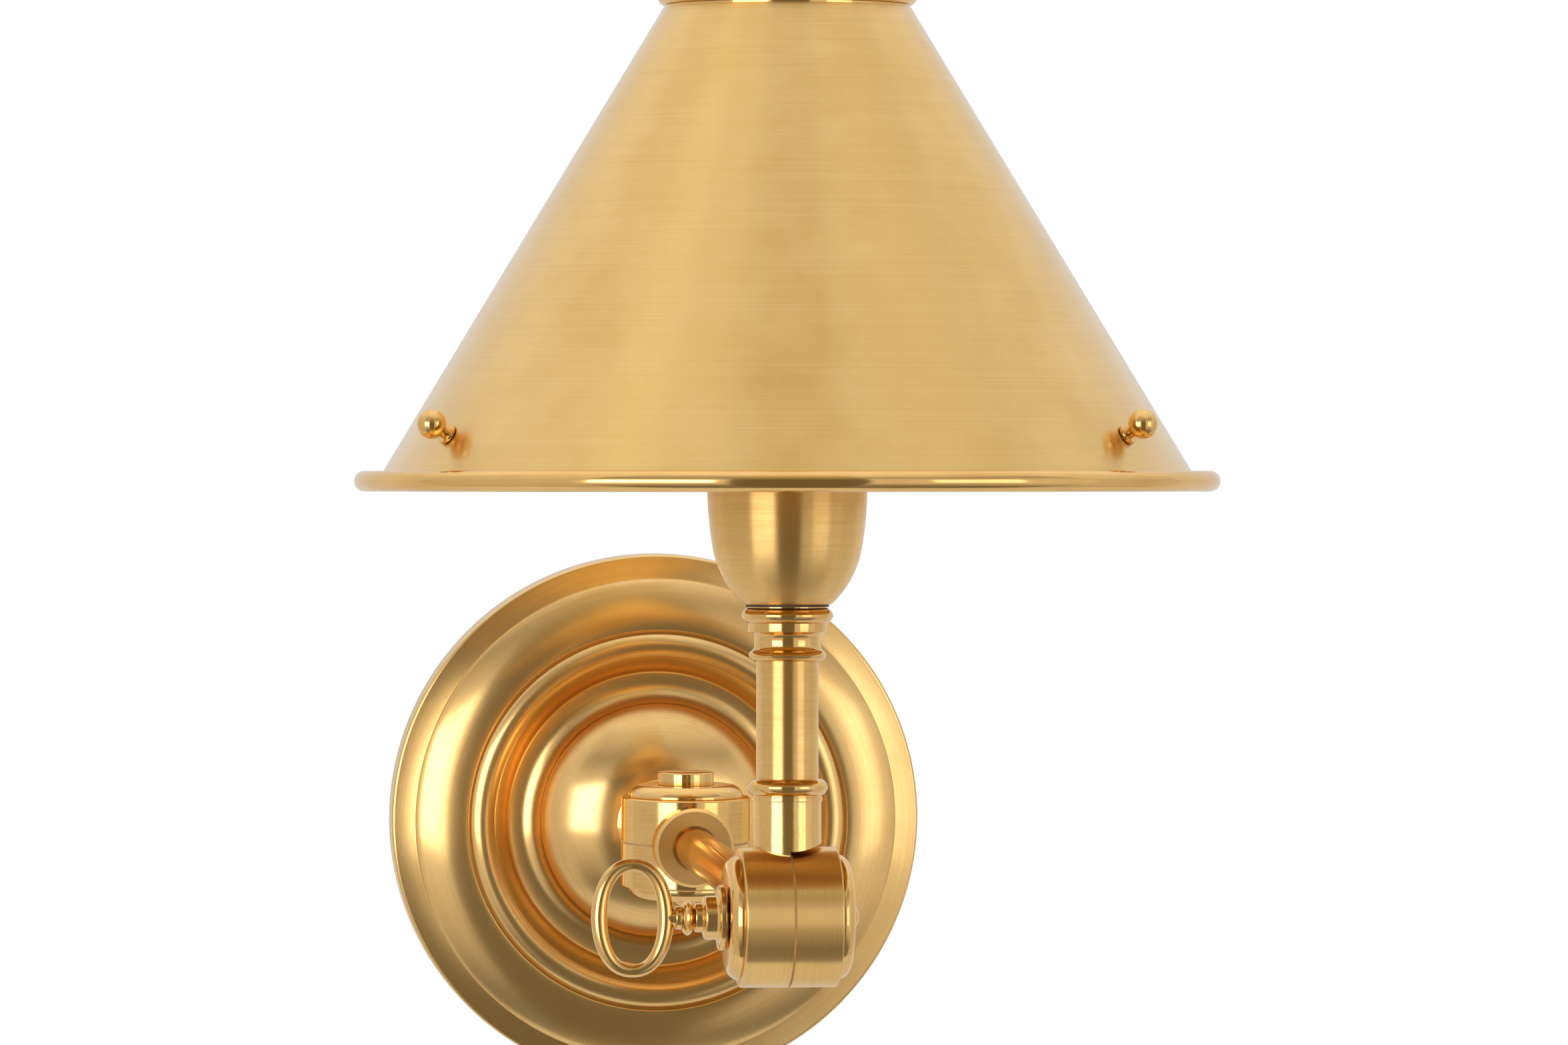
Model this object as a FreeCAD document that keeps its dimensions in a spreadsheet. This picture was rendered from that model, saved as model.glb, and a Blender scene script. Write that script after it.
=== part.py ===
import FreeCAD, Part
import math
import os
import re
import Sketcher

# Adjustable wall light: rosette on the wall, swing knuckle, straight arm, tilt knuckle,
# turned stem, socket cup and conical shade.
# Millimetres. +Z is up, the wall is the plane Y = 0 and the room lies towards -Y.
# The origin is the centre of the mounting bracket on the wall.

SIZES = {
    # rosette: widths of its rings from the edge inwards, and their rises off the wall
    "plate_radius": 63.5, "plate_edge_height": 7.0, "plate_edge_round": 0.8, "plate_wall": 1.2,
    "band_width": 5.7, "band_rise": 0.6, "torus_lip": 0.8, "torus_width": 12.1,
    "torus_rise": 3.4, "torus_bend": 23.2, "quirk_width": 0.5, "quirk_depth": 0.8,
    "bead_width": 6.0, "bead_rise": 0.6, "bead_bend": 4.1,
    "recess_fall": 3.7, "recess_depth": 5.8, "recess_width": 2.7,
    "cove_width": 4.8, "cove_rise": 3.2, "cove_bend": 5.6, "dome_lip": 0.8,
    "dome_rise": 9.1, "dome_bend": 24.0, "dome_seat_radius": 9.0,
    # crossbar and the screws that hold the rosette
    "bracket_thickness": 2.0, "bracket_width": 19.0, "slot_spacing": 79.4, "slot_length": 15.0,
    "slot_width": 4.8, "bracket_hole_radius": 5.2, "ear_height": 6.2, "ear_gap": 1.1,
    "set_screw_height": 4.0, "set_screw_radius": 1.5, "set_screw_length": 5.5, "set_screw_sink": 0.3,
    "screw_slot_width": 0.8, "ground_screw_offset": 17.0,
    "ground_screw_radius": 1.9, "ground_head_radius": 4.0, "ground_head_height": 1.8,
    # threaded tubes, nuts and clearances
    "pipe_radius": 4.8, "pipe_bore_radius": 3.3, "nut_radius": 8.0, "nut_height": 3.6,
    "washer_height": 1.0, "wall_nipple_grip": 13.0, "loose_clearance": 0.2,
    "running_clearance": 0.05, "cast_clearance": 0.4, "cut_overlap": 1.0,
    # both swivel knuckles
    "wall_to_swing": 70.0, "arm_length": 190.0, "knuckle_radius": 15.0, "knuckle_half": 10.5,
    "knuckle_round": 0.5, "seam_gap": 0.5, "chamber_outer_radius": 11.2, "chamber_inner_radius": 5.4,
    "chamber_depth": 6.5, "pivot_radius": 2.5, "cap_radius": 13.3, "cap_height": 2.8, "cap_flat_radius": 10.9,
    "cap_edge": 0.6, "cap_bend": 3.0, "boss_radius": 9.2, "boss_face_radius": 8.5, "boss_reach": 19.5,
    "boss_chamfer": 0.9, "seat_gap": 0.4, "boss_mouth": 1.4, "boss_mouth_gap": 0.45,
    "friction_washer_inset": 0.5,
    "neck_radius": 7.6, "neck_foot_radius": 10.6, "neck_foot_height": 2.4, "neck_bead_radius": 9.4,
    "neck_bead_height": 2.6, "button_radius": 6.5, "button_height": 3.0, "button_round": 0.35,
    "dome_nut_radius": 2.9, "dome_nut_skirt": 0.8, "dome_nut_rise": 1.3,
    "tip_radius": 1.8, "tip_length": 1.2,
    # arm
    "rod_radius": 4.7625, "rod_bore_radius": 3.4,
    # stem, heights measured up from the tilt axis
    "head_lean_angle": 2.7, "stem_boss_radius": 7.25, "stem_boss_top": 24.7, "stem_boss_gap": 0.9,
    "fillet_ring_radius": 7.45, "fillet_ring_height": 1.0, "stem_bead_radius": 8.65, "stem_bead_height": 3.5,
    "bead_fillet": 0.3, "bead_bend_ratio": 0.62, "stem_seat": 1.5, "stem_radius": 6.65,
    "stem_bore_radius": 5.2, "stem_length": 25.2,
    "small_bead_radius": 8.3, "small_bead_height": 2.3, "neck_groove_radius": 7.1, "neck_groove_height": 3.8,
    "fillet_step_radius": 8.4, "fillet_step_height": 1.9, "top_bead_radius": 9.85, "top_bead_height": 3.3,
    "capital_land": 0.2, "cup_washer_height": 0.5, "cup_washer_radius": 8.9, "stem_pipe_grip": 6.3,
    # socket cup
    "cup_foot_radius": 9.4, "cup_knee_radius": 15.9, "cup_knee_height": 11.9, "cup_knee_bend": 21.3,
    "cup_radius": 17.1, "cup_round_height": 25.5, "cup_side_bend": 77.7, "cup_height": 31.5, "cup_wall": 1.0,
    # lamp socket
    "socket_radius": 14.6, "socket_foot_radius": 11.4, "socket_foot_height": 5.0, "socket_start": 7.5,
    "socket_flange_height": 1.5, "socket_neck_radius": 15.6, "socket_neck_height": 14.5,
    "shell_radius": 13.2, "shell_wall": 0.4, "shell_length": 22.0, "socket_floor_radius": 9.0,
    "contact_radius": 5.0, "contact_height": 1.6, "contact_gap": 0.6,
    # shade and its carrier
    "rim_drop": 6.7, "rim_radius": 92.3, "rim_thickness": 4.4, "rim_width": 7.7,
    "shade_inset": 6.2, "shade_top_radius": 26.4, "shade_height": 98.8, "shade_wall": 1.0,
    "top_ring_overhang": 1.3, "top_ring_lip": 3.6, "top_ring_neck_inset": 0.8, "top_ring_neck_height": 2.2,
    "top_ring_bead_rise": 0.7, "top_ring_bead_height": 2.6, "vent_inset": 4.9,
    "carrier_turn_angle": 7.2, "carrier_ring_radius": 20.5, "carrier_thickness": 1.8, "carrier_arm_width": 9.0,
    "pad_length": 12.0, "pad_gap": 0.2, "carrier_nut_radius": 18.6, "carrier_nut_height": 4.0,
    "screw_radius": 1.5, "screw_height": 7.3, "screw_hole_gap": 0.3, "ball_radius": 3.1, "ball_stand": 4.7,
    "screw_collar_radius": 2.3, "screw_collar_height": 0.8, "screw_collar_gap": 0.15, "screw_tail": 5.2,
    "screw_neck_radius": 1.2,
    # thumb key, lengths along the tilt axis
    "key_gap": 0.4, "key_flange_radius": 7.0, "key_flange_height": 1.3, "key_step_radius": 4.7,
    "key_step_height": 2.9, "key_waist_radius": 3.1, "key_waist_height": 2.1, "key_fillet": 0.5,
    "key_neck_radius": 2.0, "key_bead_radius": 3.85, "key_bead_centre": 7.8, "key_bead_half": 1.1,
    "key_bead_bend": 1.6, "key_collar_radius": 2.5, "key_collar_start": 9.0, "key_collar_end": 10.4,
    "key_tail_length": 1.3, "key_bow_sink": 0.65, "key_bow_wire_radius": 1.5,
    "key_bow_half_width": 7.4, "key_bow_half_height": 11.2, "key_bow_end_bend": 6.2,
    "key_stud_grip": 2.6,
}

doc = FreeCAD.newDocument("WallLight")
sheet = doc.addObject("Spreadsheet::Sheet", "Sizes")
for row, (alias, size) in enumerate(SIZES.items(), start=1):
    sheet.set(f"A{row}", alias)
    sheet.set(f"B{row}", str(size))
    sheet.setAlias(f"B{row}", alias)
doc.recompute()

parts = []


def bound(formula):
    """The formula with each size name pointed at its cell of the sheet."""
    return re.sub(r"[a-z_]{3,}", lambda m: "Sizes." + m[0] if m[0] in SIZES else m[0], formula)


def value(formula):
    """The formula's number, worked out by the document."""
    return float(sheet.evalExpression(bound(formula)))


def arc_between(start, end, radius):
    """Arc of the given radius; a positive radius runs counter-clockwise from start to end."""
    chord = end - start
    side = FreeCAD.Vector(-chord.y, chord.x, 0).normalize() * math.copysign(1.0, radius)
    rise = math.sqrt(radius ** 2 - chord.Length ** 2 / 4)
    centre = (start + end) / 2 + side * rise
    first, last = (start, end) if radius > 0 else (end, start)
    angles = [math.atan2(point.y - centre.y, point.x - centre.x) for point in (first, last)]
    return Part.ArcOfCircle(Part.Circle(centre, FreeCAD.Vector(0, 0, 1), abs(radius)), *angles)


def sketch_on(body, plane, name):
    """An empty sketch on one of the body's own origin planes."""
    sketch = body.newObject("Sketcher::SketchObject", name)
    support = [feature for feature in body.Origin.OriginFeatures if feature.Role == plane][0]
    sketch.AttachmentSupport = [(support, "")]
    sketch.MapMode = "FlatFace"
    return sketch


def pin(sketch, geometry, end, across, along, tag):
    """Bind one point of the sketch to two formulas."""
    for kind, formula in (("DistanceX", across), ("DistanceY", along)):
        rule = Sketcher.Constraint(kind, -1, 1, geometry, end, value(formula))
        index = sketch.addConstraint(rule)
        sketch.renameConstraint(index, f"{tag}_{kind[-1]}")
        sketch.setExpression(f"Constraints.{tag}_{kind[-1]}", bound(formula))


def outline(body, plane, name, points):
    """Closed outline. A point is (across, along), or (across, along, bend): bend is the signed
    radius of the arc that leads to the point from the one before it."""
    sketch = sketch_on(body, plane, name)
    corners = [FreeCAD.Vector(value(point[0]), value(point[1]), 0) for point in points]
    edges = []
    for index, point in enumerate(points):
        start, end = corners[index - 1], corners[index]
        if len(point) == 2:
            edges.append((sketch.addGeometry(Part.LineSegment(start, end)), 1, 2))
            continue
        bend = value(point[2])
        geometry = sketch.addGeometry(arc_between(start, end, bend))
        edges.append((geometry, 1, 2) if bend > 0 else (geometry, 2, 1))
        rule = sketch.addConstraint(Sketcher.Constraint("Radius", geometry, abs(bend)))
        sketch.renameConstraint(rule, f"bend{index}")
        sketch.setExpression(f"Constraints.bend{index}", bound(f"abs({point[2]})"))
    for index, (geometry, start, end) in enumerate(edges):
        following, next_start, _ = edges[(index + 1) % len(edges)]
        sketch.addConstraint(Sketcher.Constraint("Coincident", geometry, end, following, next_start))
        pin(sketch, geometry, end, points[index][0], points[index][1], f"p{index}")
    return sketch


def circles(body, plane, name, discs):
    """Sketch of whole circles, each (across, along, radius)."""
    sketch = sketch_on(body, plane, name)
    for index, (across, along, radius) in enumerate(discs):
        centre = FreeCAD.Vector(value(across), value(along), 0)
        circle = Part.Circle(centre, FreeCAD.Vector(0, 0, 1), value(radius))
        geometry = sketch.addGeometry(circle)
        pin(sketch, geometry, 3, across, along, f"c{index}")
        rule = sketch.addConstraint(Sketcher.Constraint("Radius", geometry, value(radius)))
        sketch.renameConstraint(rule, f"r{index}")
        sketch.setExpression(f"Constraints.r{index}", bound(radius))
    return sketch


def turn(body, kind, sketch, axis):
    """Revolve a sketch about its own axis: kind is Revolution or Groove."""
    feature = body.newObject(f"PartDesign::{kind}", f"{sketch.Name}_{kind.lower()}")
    feature.Profile = sketch
    feature.ReferenceAxis = (sketch, [axis])
    feature.Angle = 360
    doc.recompute()
    return feature


def extrude(body, kind, sketch, length, reverse=False, both=False):
    """Pad or Pocket a sketch by a formula's length."""
    feature = body.newObject(f"PartDesign::{kind}", f"{sketch.Name}_{kind.lower()}")
    feature.Profile = sketch
    feature.setExpression("Length", bound(length))
    feature.Reversed = reverse
    feature.SideType = "Symmetric" if both else "One side"
    doc.recompute()
    return feature


def cut_volume(body, feature_maker, *arguments, **options):
    """Make a cutting feature and make sure that it takes something away."""
    before = body.Shape.Volume
    feature = feature_maker(*arguments, **options)
    if body.Shape.Volume >= before - 1e-3:
        raise RuntimeError(f"{feature.Name} cuts nothing")
    return feature


def new_body(label):
    """A new piece of the light."""
    body = doc.addObject("PartDesign::Body", label)
    body.Label = label
    parts.append(body)
    return body


def turned(label, placement, points, plane="XZ_Plane", axis="V_Axis"):
    """A piece turned on a lathe: one outline revolved about one axis."""
    body = new_body(label)
    turn(body, "Revolution", outline(body, plane, f"{label}_profile", points), axis)
    body.Placement = placement
    return body


def rectangle(inner, outer, low, high):
    """Corners of a rectangle between two distances across and two along."""
    return [(inner, low), (outer, low), (outer, high), (inner, high)]


# ---------------------------------------------------------------- places of the joints
X_AXIS, Y_AXIS, Z_AXIS = FreeCAD.Vector(1, 0, 0), FreeCAD.Vector(0, 1, 0), FreeCAD.Vector(0, 0, 1)
WALL = FreeCAD.Placement()
SWING = FreeCAD.Placement(FreeCAD.Vector(0, -value("wall_to_swing"), 0), FreeCAD.Rotation())
TILT = FreeCAD.Placement(FreeCAD.Vector(0, -value("wall_to_swing + arm_length"), 0), FreeCAD.Rotation())
HEAD = TILT * FreeCAD.Placement(FreeCAD.Vector(), FreeCAD.Rotation(X_AXIS, -value("head_lean_angle")))

# ---------------------------------------------------------------- rosette
# Outline across = radius, along = Y, so a height off the wall is written with a minus.
BAND_TOP = "(plate_edge_height + plate_edge_round + band_rise)"
TORUS_FOOT = f"({BAND_TOP} + torus_lip)"
TORUS_TOP = f"({TORUS_FOOT} + torus_rise)"
QUIRK_FLOOR = f"({TORUS_TOP} - quirk_depth)"
BEAD_END = f"({QUIRK_FLOOR} + bead_rise)"
RECESS_FLOOR = f"({BEAD_END} - recess_depth)"
DOME_FOOT = f"({RECESS_FLOOR} + cove_rise + dome_lip)"
DOME_TOP = f"({DOME_FOOT} + dome_rise)"
NIPPLE_HOLE = "(pipe_radius + loose_clearance)"
EDGE_INSIDE = "(plate_radius - plate_wall)"
BAND_INNER = "(plate_radius - band_width)"
TORUS_INNER = f"({BAND_INNER} - torus_width)"
BEAD_INNER = f"({TORUS_INNER} - quirk_width - bead_width)"
RECESS_OUTER = f"({BEAD_INNER} - recess_fall)"
RECESS_INNER = f"({RECESS_OUTER} - recess_width)"
DOME_RADIUS = f"({RECESS_INNER} - cove_width)"


def rosette():
    """Spun rosette: coned band, torus, bead, recess, cove and dome, open at the back."""
    body = turned("backplate", WALL, [
        ("plate_radius", "0"),
        ("plate_radius", "-plate_edge_height"),
        ("plate_radius - plate_edge_round", "-plate_edge_height - plate_edge_round", "-plate_edge_round"),
        (BAND_INNER, f"-{BAND_TOP}"),
        (BAND_INNER, f"-{TORUS_FOOT}"),
        (TORUS_INNER, f"-{TORUS_TOP}", "-torus_bend"),
        (f"{TORUS_INNER} - quirk_width", f"-{QUIRK_FLOOR}"),
        (BEAD_INNER, f"-{BEAD_END}", "-bead_bend"),
        (RECESS_OUTER, f"-{RECESS_FLOOR}"),
        (RECESS_INNER, f"-{RECESS_FLOOR}"),
        (DOME_RADIUS, f"-{RECESS_FLOOR} - cove_rise", "cove_bend"),
        (DOME_RADIUS, f"-{DOME_FOOT}"),
        ("dome_seat_radius", f"-{DOME_TOP}", "-dome_bend"),
        (NIPPLE_HOLE, f"-{DOME_TOP}"),
        (NIPPLE_HOLE, f"-{DOME_TOP} + plate_wall"),
        ("dome_seat_radius", f"-{DOME_TOP} + plate_wall"),
        (f"{DOME_RADIUS} - plate_wall", f"-{DOME_FOOT} + plate_wall", "dome_bend - plate_wall"),
        (f"{RECESS_INNER} + plate_wall / 2", f"-{RECESS_FLOOR} + plate_wall"),
        (f"{RECESS_OUTER} + plate_wall", f"-{RECESS_FLOOR} + plate_wall"),
        (f"{BEAD_INNER} + plate_wall", f"-{BEAD_END} + plate_wall"),
        (TORUS_INNER, f"-{TORUS_TOP} + 3 * plate_wall / 2"),
        (f"{BAND_INNER} - plate_wall", f"-{TORUS_FOOT} + plate_wall"),
        (EDGE_INSIDE, "-plate_edge_height - plate_edge_round + plate_wall"),
        (EDGE_INSIDE, "0"),
    ], plane="XY_Plane")
    holes = circles(body, "XY_Plane", "backplate_screw_holes",
                    [("0", "-set_screw_height", "set_screw_radius + loose_clearance")])
    cut_volume(body, extrude, body, "Pocket", holes, "2 * plate_radius + plate_wall", both=True)


def wall_bracket():
    """Crossbar with two slots, a centre hole, a ground screw hole and two bent ears."""
    body = new_body("mounting_bracket")
    ear_face = f"({EDGE_INSIDE} - ear_gap)"
    side = outline(body, "YZ_Plane", "bracket_side", [
        ("0", f"-{ear_face}"), ("0", ear_face),
        ("-ear_height", ear_face), ("-ear_height", f"{ear_face} - bracket_thickness"),
        ("-bracket_thickness", f"{ear_face} - bracket_thickness"),
        ("-bracket_thickness", f"-{ear_face} + bracket_thickness"),
        ("-ear_height", f"-{ear_face} + bracket_thickness"), ("-ear_height", f"-{ear_face}"),
    ])
    extrude(body, "Pad", side, "bracket_width", both=True)
    for name, sign in (("upper", "+"), ("lower", "-")):
        # Rounded slot centred on the box screw's place.
        middle = f"({sign}slot_spacing / 2)"
        run = "(slot_length - slot_width) / 2"
        half = "slot_width / 2"
        bend = f"({half} * sqrt(2))"
        slot = outline(body, "XZ_Plane", f"{name}_slot", [
            (f"-{half}", f"{middle} - {run}"),
            ("0", f"{middle} - {run} - {half}", half), (half, f"{middle} - {run}", half),
            (half, f"{middle} + {run}"),
            ("0", f"{middle} + {run} + {half}", half), (f"-{half}", f"{middle} + {run}", half),
        ])
        cut_volume(body, extrude, body, "Pocket", slot, "4 * bracket_thickness", both=True)
    holes = circles(body, "XZ_Plane", "bracket_holes", [
        ("0", "0", "bracket_hole_radius"), ("0", "-ground_screw_offset", "ground_screw_radius")])
    cut_volume(body, extrude, body, "Pocket", holes, "4 * bracket_thickness", both=True)
    taps = circles(body, "XY_Plane", "ear_taps", [("0", "-set_screw_height", "set_screw_radius")])
    cut_volume(body, extrude, body, "Pocket", taps, "2 * plate_radius", both=True)


def slotted_screw(label, placement, head_radius, head_height, shank_radius, shank_length):
    """Pan-head screw with its head's seat at z = 0, head up and a driver slot across it."""
    body = new_body(label)
    profile = outline(body, "XZ_Plane", f"{label}_profile", [
        ("0", f"-{shank_length}"), (shank_radius, f"-{shank_length}"), (shank_radius, "0"),
        (head_radius, "0"), (head_radius, f"{head_height} / 2"),
        (f"{head_radius} - {head_height} / 2", head_height, f"{head_height} / 2"), ("0", head_height)])
    turn(body, "Revolution", profile, "V_Axis")
    slot = outline(body, "XZ_Plane", f"{label}_slot", rectangle(
        "-screw_slot_width / 2", "screw_slot_width / 2", f"{head_height} / 2", f"2 * {head_height}"))
    cut_volume(body, extrude, body, "Pocket", slot, f"3 * {head_radius}", both=True)
    body.Placement = placement
    return body


def grub_screw(label, placement):
    """Headless screw that ends just inside the rosette's edge, with a driver slot in its end."""
    body = new_body(label)
    end = "(plate_radius - set_screw_sink)"
    profile = outline(body, "XZ_Plane", f"{label}_profile",
                      rectangle("0", "set_screw_radius", f"{end} - set_screw_length", end))
    turn(body, "Revolution", profile, "V_Axis")
    slot = outline(body, "XZ_Plane", f"{label}_slot", rectangle(
        "-screw_slot_width / 2", "screw_slot_width / 2",
        f"{end} - screw_slot_width", f"{end} + screw_slot_width"))
    cut_volume(body, extrude, body, "Pocket", slot, "3 * set_screw_radius", both=True)
    body.Placement = placement
    return body


def wall_hardware():
    """Screws of the bracket, and the nipple, nut and washer behind the dome."""
    ground = FreeCAD.Vector(0, -value("bracket_thickness"), -value("ground_screw_offset"))
    slotted_screw("bracket_ground_screw", FreeCAD.Placement(ground, FreeCAD.Rotation(X_AXIS, 90)),
                  "ground_head_radius", "ground_head_height", "ground_screw_radius",
                  "bracket_thickness")
    pair = []
    for name, turn_angle in (("upper", 0), ("lower", 180)):
        seat = FreeCAD.Vector(0, -value("set_screw_height"), 0)
        screw = grub_screw(f"set_screw_{name}", FreeCAD.Placement(seat, FreeCAD.Rotation(Y_AXIS, turn_angle)))
        parts.remove(screw)
        pair.append(screw)
    group = doc.addObject("Part::Compound", "backplate_set_screws")
    group.Links = pair
    parts.append(group)
    turned("wall_nipple", WALL, rectangle(
        "pipe_bore_radius", "pipe_radius", f"-{DOME_TOP} - wall_nipple_grip",
        f"-{DOME_TOP} + plate_wall + washer_height + nut_height + washer_height"), plane="XY_Plane")
    turned("wall_nipple_washer", WALL, rectangle(
        NIPPLE_HOLE, "nut_radius", f"-{DOME_TOP} + plate_wall", f"-{DOME_TOP} + plate_wall + washer_height"),
        plane="XY_Plane")
    seat = FreeCAD.Vector(0, value(f"-{DOME_TOP} + plate_wall + washer_height"), 0)
    hex_nut("wall_nipple_nut", FreeCAD.Placement(seat, FreeCAD.Rotation(X_AXIS, -90)))


def hex_nut(label, placement):
    """Thin hexagon nut for the threaded tubes, standing on z = 0."""
    body = new_body(label)
    corners = [(f"nut_radius * cos({60 * step})", f"nut_radius * sin({60 * step})") for step in range(6)]
    extrude(body, "Pad", outline(body, "XY_Plane", f"{label}_hexagon", corners), "nut_height")
    bore = circles(body, "XY_Plane", f"{label}_bore", [("0", "0", "pipe_radius")])
    cut_volume(body, extrude, body, "Pocket", bore, "3 * nut_height", both=True)
    body.Placement = placement


# ---------------------------------------------------------------- swivel knuckles
# A half is drawn below its seam: along = the pivot's axis, seam at -seam_gap / 2.
CAP_TOP = "(knuckle_half + cap_height)"
PIVOT_HOLE = "(pivot_radius + running_clearance)"
TIP_HOLE = "(tip_radius + running_clearance)"
TIP_END = f"({CAP_TOP} + tip_length)"
ROD_SEAT = "(knuckle_radius + cast_clearance + seat_gap)"
PIPE_SEAT = "(knuckle_radius + stem_boss_gap + seat_gap)"
WAY_START = "(chamber_inner_radius + cut_overlap)"


def knuckle_half(body, axis_plane, axis, side):
    """One half of a knuckle: drum, bore for the pivot and ring-shaped wiring chamber.
    side is + or -: where the half lies along the pivot's axis."""
    flip = "-" if side == "-" else ""
    drum = [
        (PIVOT_HOLE, f"{side}(seam_gap / 2)"), ("knuckle_radius", f"{side}(seam_gap / 2)"),
        ("knuckle_radius", f"{side}(knuckle_half - knuckle_round)"),
        ("knuckle_radius - knuckle_round", f"{side}knuckle_half", f"{flip}knuckle_round"),
        (PIVOT_HOLE, f"{side}knuckle_half"),
    ]
    chamber = rectangle("chamber_inner_radius", "chamber_outer_radius",
                        "0", f"{side}(seam_gap / 2 + chamber_depth)")
    if axis == "H_Axis":
        drum = [(along, across, f"-({bend[0]})") if bend else (along, across)
                for across, along, *bend in drum]
        chamber = [(along, across) for across, along in chamber]
    turn(body, "Revolution", outline(body, axis_plane, f"{body.Name}_drum", drum), axis)
    return lambda: cut_volume(
        body, turn, body, "Groove", outline(body, axis_plane, f"{body.Name}_chamber", chamber), axis)


def boss_profile(reach_sign):
    """Boss with a chamfered face that holds the rod, drawn along the rod's axis."""
    return [
        ("0", "0"), ("boss_radius", "0"), ("boss_radius", f"{reach_sign}(boss_reach - boss_chamfer)"),
        ("boss_face_radius", f"{reach_sign}boss_reach"), ("0", f"{reach_sign}boss_reach"),
    ]


def rod_socket(reach_sign):
    """Wire way, seat of the rod and wider mouth in a boss."""
    return [
        ("0", f"{reach_sign}{WAY_START}"), ("rod_bore_radius", f"{reach_sign}{WAY_START}"),
        ("rod_bore_radius", f"{reach_sign}{ROD_SEAT}"), ("rod_radius", f"{reach_sign}{ROD_SEAT}"),
        ("rod_radius", f"{reach_sign}(boss_reach - boss_mouth)"),
        ("rod_radius + boss_mouth_gap", f"{reach_sign}(boss_reach - boss_mouth)"),
        ("rod_radius + boss_mouth_gap", f"{reach_sign}(boss_reach + boss_mouth)"),
        ("0", f"{reach_sign}(boss_reach + boss_mouth)"),
    ]


def knuckle_with_boss(label, placement, pivot_plane, pivot_axis, side, boss, socket, boss_plane, boss_axis,
                      gap):
    """A knuckle half whose boss reaches over the other half and stays clear of it by gap."""
    body = new_body(label)
    cut_chamber = knuckle_half(body, pivot_plane, pivot_axis, side)
    core = body.Shape.Volume
    turn(body, "Revolution", outline(body, boss_plane, f"{label}_boss", boss), boss_axis)
    if body.Shape.Volume <= core:
        raise RuntimeError(f"{label} has no boss")
    other = "-" if side == "+" else "+"
    relief = rectangle("0", f"knuckle_radius + {gap}", f"{side}(seam_gap / 2)",
                       f"{other}(knuckle_half + cap_height + boss_radius)")
    if pivot_axis == "H_Axis":
        relief = [(along, across) for across, along in relief]
    sketch = outline(body, pivot_plane, f"{label}_relief", relief)
    cut_volume(body, turn, body, "Groove", sketch, pivot_axis)
    way = outline(body, boss_plane, f"{label}_socket", socket)
    cut_volume(body, turn, body, "Groove", way, boss_axis)
    cut_chamber()
    bore = rectangle("0", PIVOT_HOLE, "0", f"{side}(knuckle_half + cap_height)")
    if pivot_axis == "H_Axis":
        bore = [(along, across) for across, along in bore]
    cut_volume(body, turn, body, "Groove", outline(body, pivot_plane, f"{label}_bore", bore), pivot_axis)
    body.Placement = placement


def rear_knuckle():
    """Swing knuckle: fixed lower half with its neck, upper half with the boss for the arm."""
    neck_foot = f"(wall_to_swing - {DOME_TOP})"
    neck = [
        ("0", "0"), ("neck_radius", "0"),
        ("neck_radius", f"{neck_foot} - neck_foot_height - neck_bead_height"),
        ("neck_bead_radius", f"{neck_foot} - neck_foot_height - neck_bead_height / 2", "neck_bead_height"),
        ("neck_radius", f"{neck_foot} - neck_foot_height", "neck_bead_height"),
        ("neck_foot_radius", f"{neck_foot} - neck_foot_height / 3"),
        ("neck_foot_radius", neck_foot), ("0", neck_foot),
    ]
    grip = f"({neck_foot} - wall_nipple_grip)"
    way = [
        ("0", WAY_START), ("pipe_bore_radius", WAY_START), ("pipe_bore_radius", grip), ("pipe_radius", grip),
        ("pipe_radius", f"{neck_foot} + cut_overlap"), ("0", f"{neck_foot} + cut_overlap"),
    ]
    knuckle_with_boss("rear_knuckle_base", SWING, "XZ_Plane", "V_Axis", "-", neck, way,
                      "XY_Plane", "V_Axis", "cast_clearance")
    knuckle_with_boss("rear_knuckle_turret", SWING, "XZ_Plane", "V_Axis", "+", boss_profile("-"),
                      rod_socket("-"), "XY_Plane", "V_Axis", "cast_clearance")


def front_knuckle():
    """Tilt knuckle: right half on the arm, left half with the upright boss of the stem."""
    knuckle_with_boss("front_knuckle_arm_half", TILT, "XZ_Plane", "H_Axis", "+", boss_profile("+"),
                      rod_socket("+"), "XY_Plane", "V_Axis", "cast_clearance")
    boss = rectangle("0", "stem_boss_radius", "0", "stem_boss_top")
    way = [
        ("0", WAY_START), ("pipe_bore_radius", WAY_START),
        ("pipe_bore_radius", PIPE_SEAT), ("pipe_radius", PIPE_SEAT),
        ("pipe_radius", "stem_boss_top + cut_overlap"), ("0", "stem_boss_top + cut_overlap"),
    ]
    knuckle_with_boss("front_knuckle_head_half", HEAD, "XZ_Plane", "H_Axis", "-", boss, way,
                      "XZ_Plane", "V_Axis", "stem_boss_gap")


def cap_points(hole):
    """Stepped cap with a rounded edge, standing on the knuckle's end."""
    return [
        (hole, "knuckle_half"), ("cap_radius", "knuckle_half"), ("cap_radius", "knuckle_half + cap_edge"),
        ("cap_flat_radius", CAP_TOP, "cap_bend"), (hole, CAP_TOP),
    ]


def flipped(points):
    """The same outline mirrored along the pivot's axis."""
    return [(point[0], f"-({point[1]})", *[f"-({bend})" for bend in point[2:]]) for point in points]


def about_x(points):
    """The same outline drawn for a pivot axis along X."""
    return [(point[1], point[0], *[f"-({bend})" for bend in point[2:]]) for point in points]


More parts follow.
